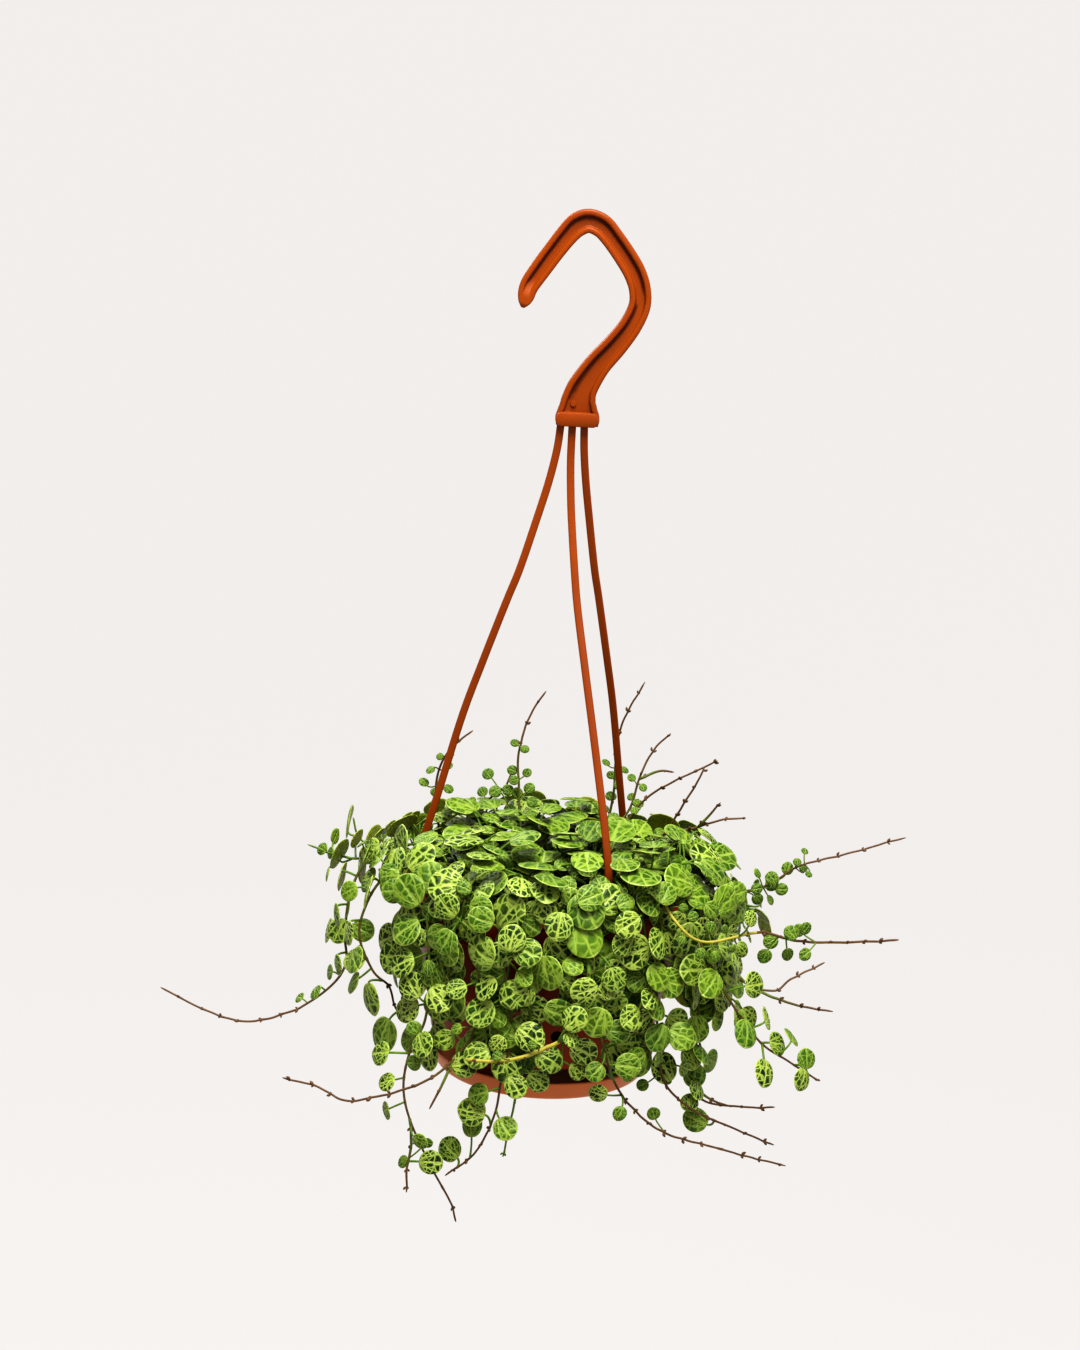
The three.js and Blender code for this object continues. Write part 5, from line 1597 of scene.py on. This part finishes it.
def saucer_mesh():
    """A shallow dish with a rounded lip."""
    floor = -SAUCER_DEPTH
    corners = [
        (0, floor, 0), (SAUCER_FLOOR_RADIUS, floor, 0.8), (SAUCER_FLOOR_RADIUS + 1.2, floor + 1, 0.8),
        (SAUCER_RADIUS - 0.5, -0.4, 0.3), (SAUCER_RADIUS - 0.8, 0.2, 0.5), (SAUCER_RADIUS - 1.7, 0, 0.4),
        (SAUCER_FLOOR_RADIUS, floor + SAUCER_FLOOR, 1), (0, floor + SAUCER_FLOOR, 0),
    ]
    return lathed("saucer_dish", filleted(corners), 144)


def post_mesh():
    """The four snap posts that stand on the saucer's floor and hold the pot."""
    floor_top = SAUCER_FLOOR - SAUCER_DEPTH
    base_top = BASE_HEIGHT + BASE_THICKNESS
    shoulder = BASE_HEIGHT - GAP
    barb, top = base_top + GAP, base_top + 2.8
    sections = [
        (-1.9, floor_top - 0.5, 0), (1.9, floor_top - 0.5, 0), (1.9, shoulder, 0.3), (1, shoulder, 0.1),
        (1, barb, 0.1), (2.4, barb, 0.3), (1, top, 0.4), (-1, top, 0.4), (-1, shoulder, 0.1),
        (-1.9, shoulder, 0.3),
    ]
    outline = [(POST_RADIUS + out, height, radius) for out, height, radius in sections]
    sheaf = Sheaf()
    for azimuth in POST_AZIMUTHS:

        def standing(a, b, depth, azimuth=azimuth):
            return turned(azimuth, a, depth, b)

        plate_form(sheaf, outline, POST_WIDTH, standing, 0.2)
    return sheaf.mesh("saucer_posts")


def soil_mesh():
    """The potting mix: a low dome of crumbs, closed below."""
    spokes, rings = 180, 60
    edge = inner_wall_radius(SOIL_EDGE_HEIGHT) - GAP - 0.1
    places = [(0.0, 0.0, SOIL_TOP_HEIGHT)]
    for ring in range(1, rings + 1):
        share = ring / rings
        fall = (SOIL_TOP_HEIGHT - SOIL_EDGE_HEIGHT) * share ** 2.2
        for spoke in range(spokes):
            x, y, _ = polar(spoke * 360 / spokes, edge * share, 0)
            rough = waves.fractal(Vector((x, y, 3)) * 0.35, 0.6, 2.2, 5)
            places.append((x, y, SOIL_TOP_HEIGHT - fall + 0.75 * rough * (1 - share ** 12)))
    below = ((inner_wall_radius(STEP_HEIGHT + 2) - GAP - 0.2, STEP_HEIGHT + 2.2),
             (inner_wall_radius(STEP_HEIGHT - 1) - GAP - 0.2, STEP_HEIGHT - 1),
             (BASE_RADIUS - 1.2, BASE_HEIGHT + BASE_THICKNESS + GAP))
    for radius, height in below:
        places += [polar(spoke * 360 / spokes, radius, height) for spoke in range(spokes)]
    faces = fan_faces(rings + len(below), spokes)
    faces.append(tuple(len(places) - spokes + spoke for spoke in reversed(range(spokes))))
    sheaf = Sheaf()
    sheaf.add(np.array(places), faces)
    return sheaf.mesh("soil_surface")


# The object. Its plastics' edges stay sharp from this angle on.
SHARP_FROM = 40
plan, crowd = plant_plan()
fill_leaves(plan, crowd)
leaf_material = leaf_finish()
stem_material = stem_finish()
for index, (name, runs) in enumerate(plan):
    dress_stem(index, name, runs, leaf_material, stem_material)
hanger_plastic = plastic_finish("hanger_plastic", "7c3804", "6e3004", 0.4)
pot_plastic = plastic_finish("pot_plastic", "8a3208", "7c2a04", 0.36)
settle_piece("hanger_moulding", hanger_mesh(), hanger_plastic, ["hanger"], SHARP_FROM)
settle_piece("pot_shell", pot_mesh(), pot_plastic, ["pot"], SHARP_FROM)
# Painted light: the saucer's plastic is painted lighter than the pot's, standing in for the stronger light on
# its front.
saucer_plastic = plastic_finish("saucer_plastic", "c47448", "b4683a", 0.36)
settle_piece("saucer_dish", saucer_mesh(), saucer_plastic, ["saucer"], SHARP_FROM)
settle_piece("saucer_posts", post_mesh(), saucer_plastic, ["saucer"], SHARP_FROM)
settle_piece("soil_surface", soil_mesh(), soil_finish(), ["soil"])


# The camera, the pale studio and the light
FOCAL_SHARE = 2570 / 1350
CAMERA_DISTANCE = 1000
CAMERA_HEIGHT = 384
CAMERA_SIDE = -8.9
PITCH = math.radians(12.9)
ROLL = math.radians(3.23)
STUDIO_FLOOR = -0.85
STUDIO_RADIUS = 1.9
STUDIO_CURVE = 1.3
STUDIO_TOP = 1.1
# Soft lights: name, place, target, length of a side and power
LIGHTS = (
    ("overhead_soft", (0.05, -0.45, 0.8), (0, 0, -0.25), 0.6, 29),
    ("front_soft", (0.5, -1.2, 0.5), (0, 0, -0.27), 0.5, 3),
    ("back_soft", (-0.7, 1.0, 0.6), (0, 0, -0.25), 0.6, 9),
)


def make_camera():
    data = bpy.data.cameras.new("camera")
    data.sensor_fit = "VERTICAL"
    data.sensor_height = 36
    data.lens = 36 * FOCAL_SHARE
    camera = bpy.data.objects.new("camera", data)
    bpy.context.scene.collection.objects.link(camera)
    up = Vector((0, math.sin(PITCH), math.cos(PITCH)))
    side = Vector((1, 0, 0))
    forward = Vector((0, math.cos(PITCH), -math.sin(PITCH)))
    right = math.cos(ROLL) * side + math.sin(ROLL) * up
    top = math.cos(ROLL) * up - math.sin(ROLL) * side
    turn = Matrix((right, top, -forward)).transposed().to_4x4()
    place = Vector((CAMERA_SIDE, -CAMERA_DISTANCE, CAMERA_HEIGHT - HANG_HEIGHT)) * MM
    camera.matrix_world = Matrix.Translation(place) @ turn
    bpy.context.scene.camera = camera


def make_studio():
    """A pale floor that curves up into a round wall."""
    outline = [(STUDIO_RADIUS, STUDIO_FLOOR)]
    for step in range(1, 17):
        angle = step / 16 * math.pi / 2
        rise = STUDIO_CURVE * (1 - math.cos(angle))
        outline.append((STUDIO_RADIUS + STUDIO_CURVE * math.sin(angle), STUDIO_FLOOR + rise))
    outline.append((STUDIO_RADIUS + STUDIO_CURVE, STUDIO_TOP))
    spokes = 96
    places = [(0.0, 0.0, STUDIO_FLOOR)]
    for radius, height in outline:
        places += [polar(i * 360 / spokes, radius, height) for i in range(spokes)]
    mesh = bpy.data.meshes.new("studio")
    mesh.from_pydata(places, [], fan_faces(len(outline), spokes))
    mesh.shade_smooth()
    mesh.materials.append(Finish("studio_pale").surface(
        Base_Color=tint("3a3938"), Roughness=1.0, Specular_IOR_Level=0.0,
        Emission_Color=tint("f6f3f1"), Emission_Strength=0.66,
    ))
    studio = bpy.data.objects.new("studio", mesh)
    bpy.context.scene.collection.objects.link(studio)


def make_light(name, place, target, size, power):
    """A soft square light that faces its target."""
    data = bpy.data.lights.new(name, "AREA")
    data.shape = "RECTANGLE"
    data.size = data.size_y = size
    data.energy = power
    light = bpy.data.objects.new(name, data)
    bpy.context.scene.collection.objects.link(light)
    light.location = place
    direction = Vector(target) - Vector(place)
    light.rotation_mode = "QUATERNION"
    light.rotation_quaternion = direction.to_track_quat("-Z", "Y")


def make_room():
    """The even light from all round."""
    world = bpy.data.worlds.new("soft_room")
    world.use_nodes = True
    sockets = world.node_tree.nodes["Background"].inputs
    sockets["Color"].default_value = tint("f4f2f0")
    sockets["Strength"].default_value = 0.15
    bpy.context.scene.world = world


make_camera()
make_studio()
for light_row in LIGHTS:
    make_light(*light_row)
make_room()
bpy.context.scene.view_settings.view_transform = "Standard"
bpy.context.scene.view_settings.look = "High Contrast"
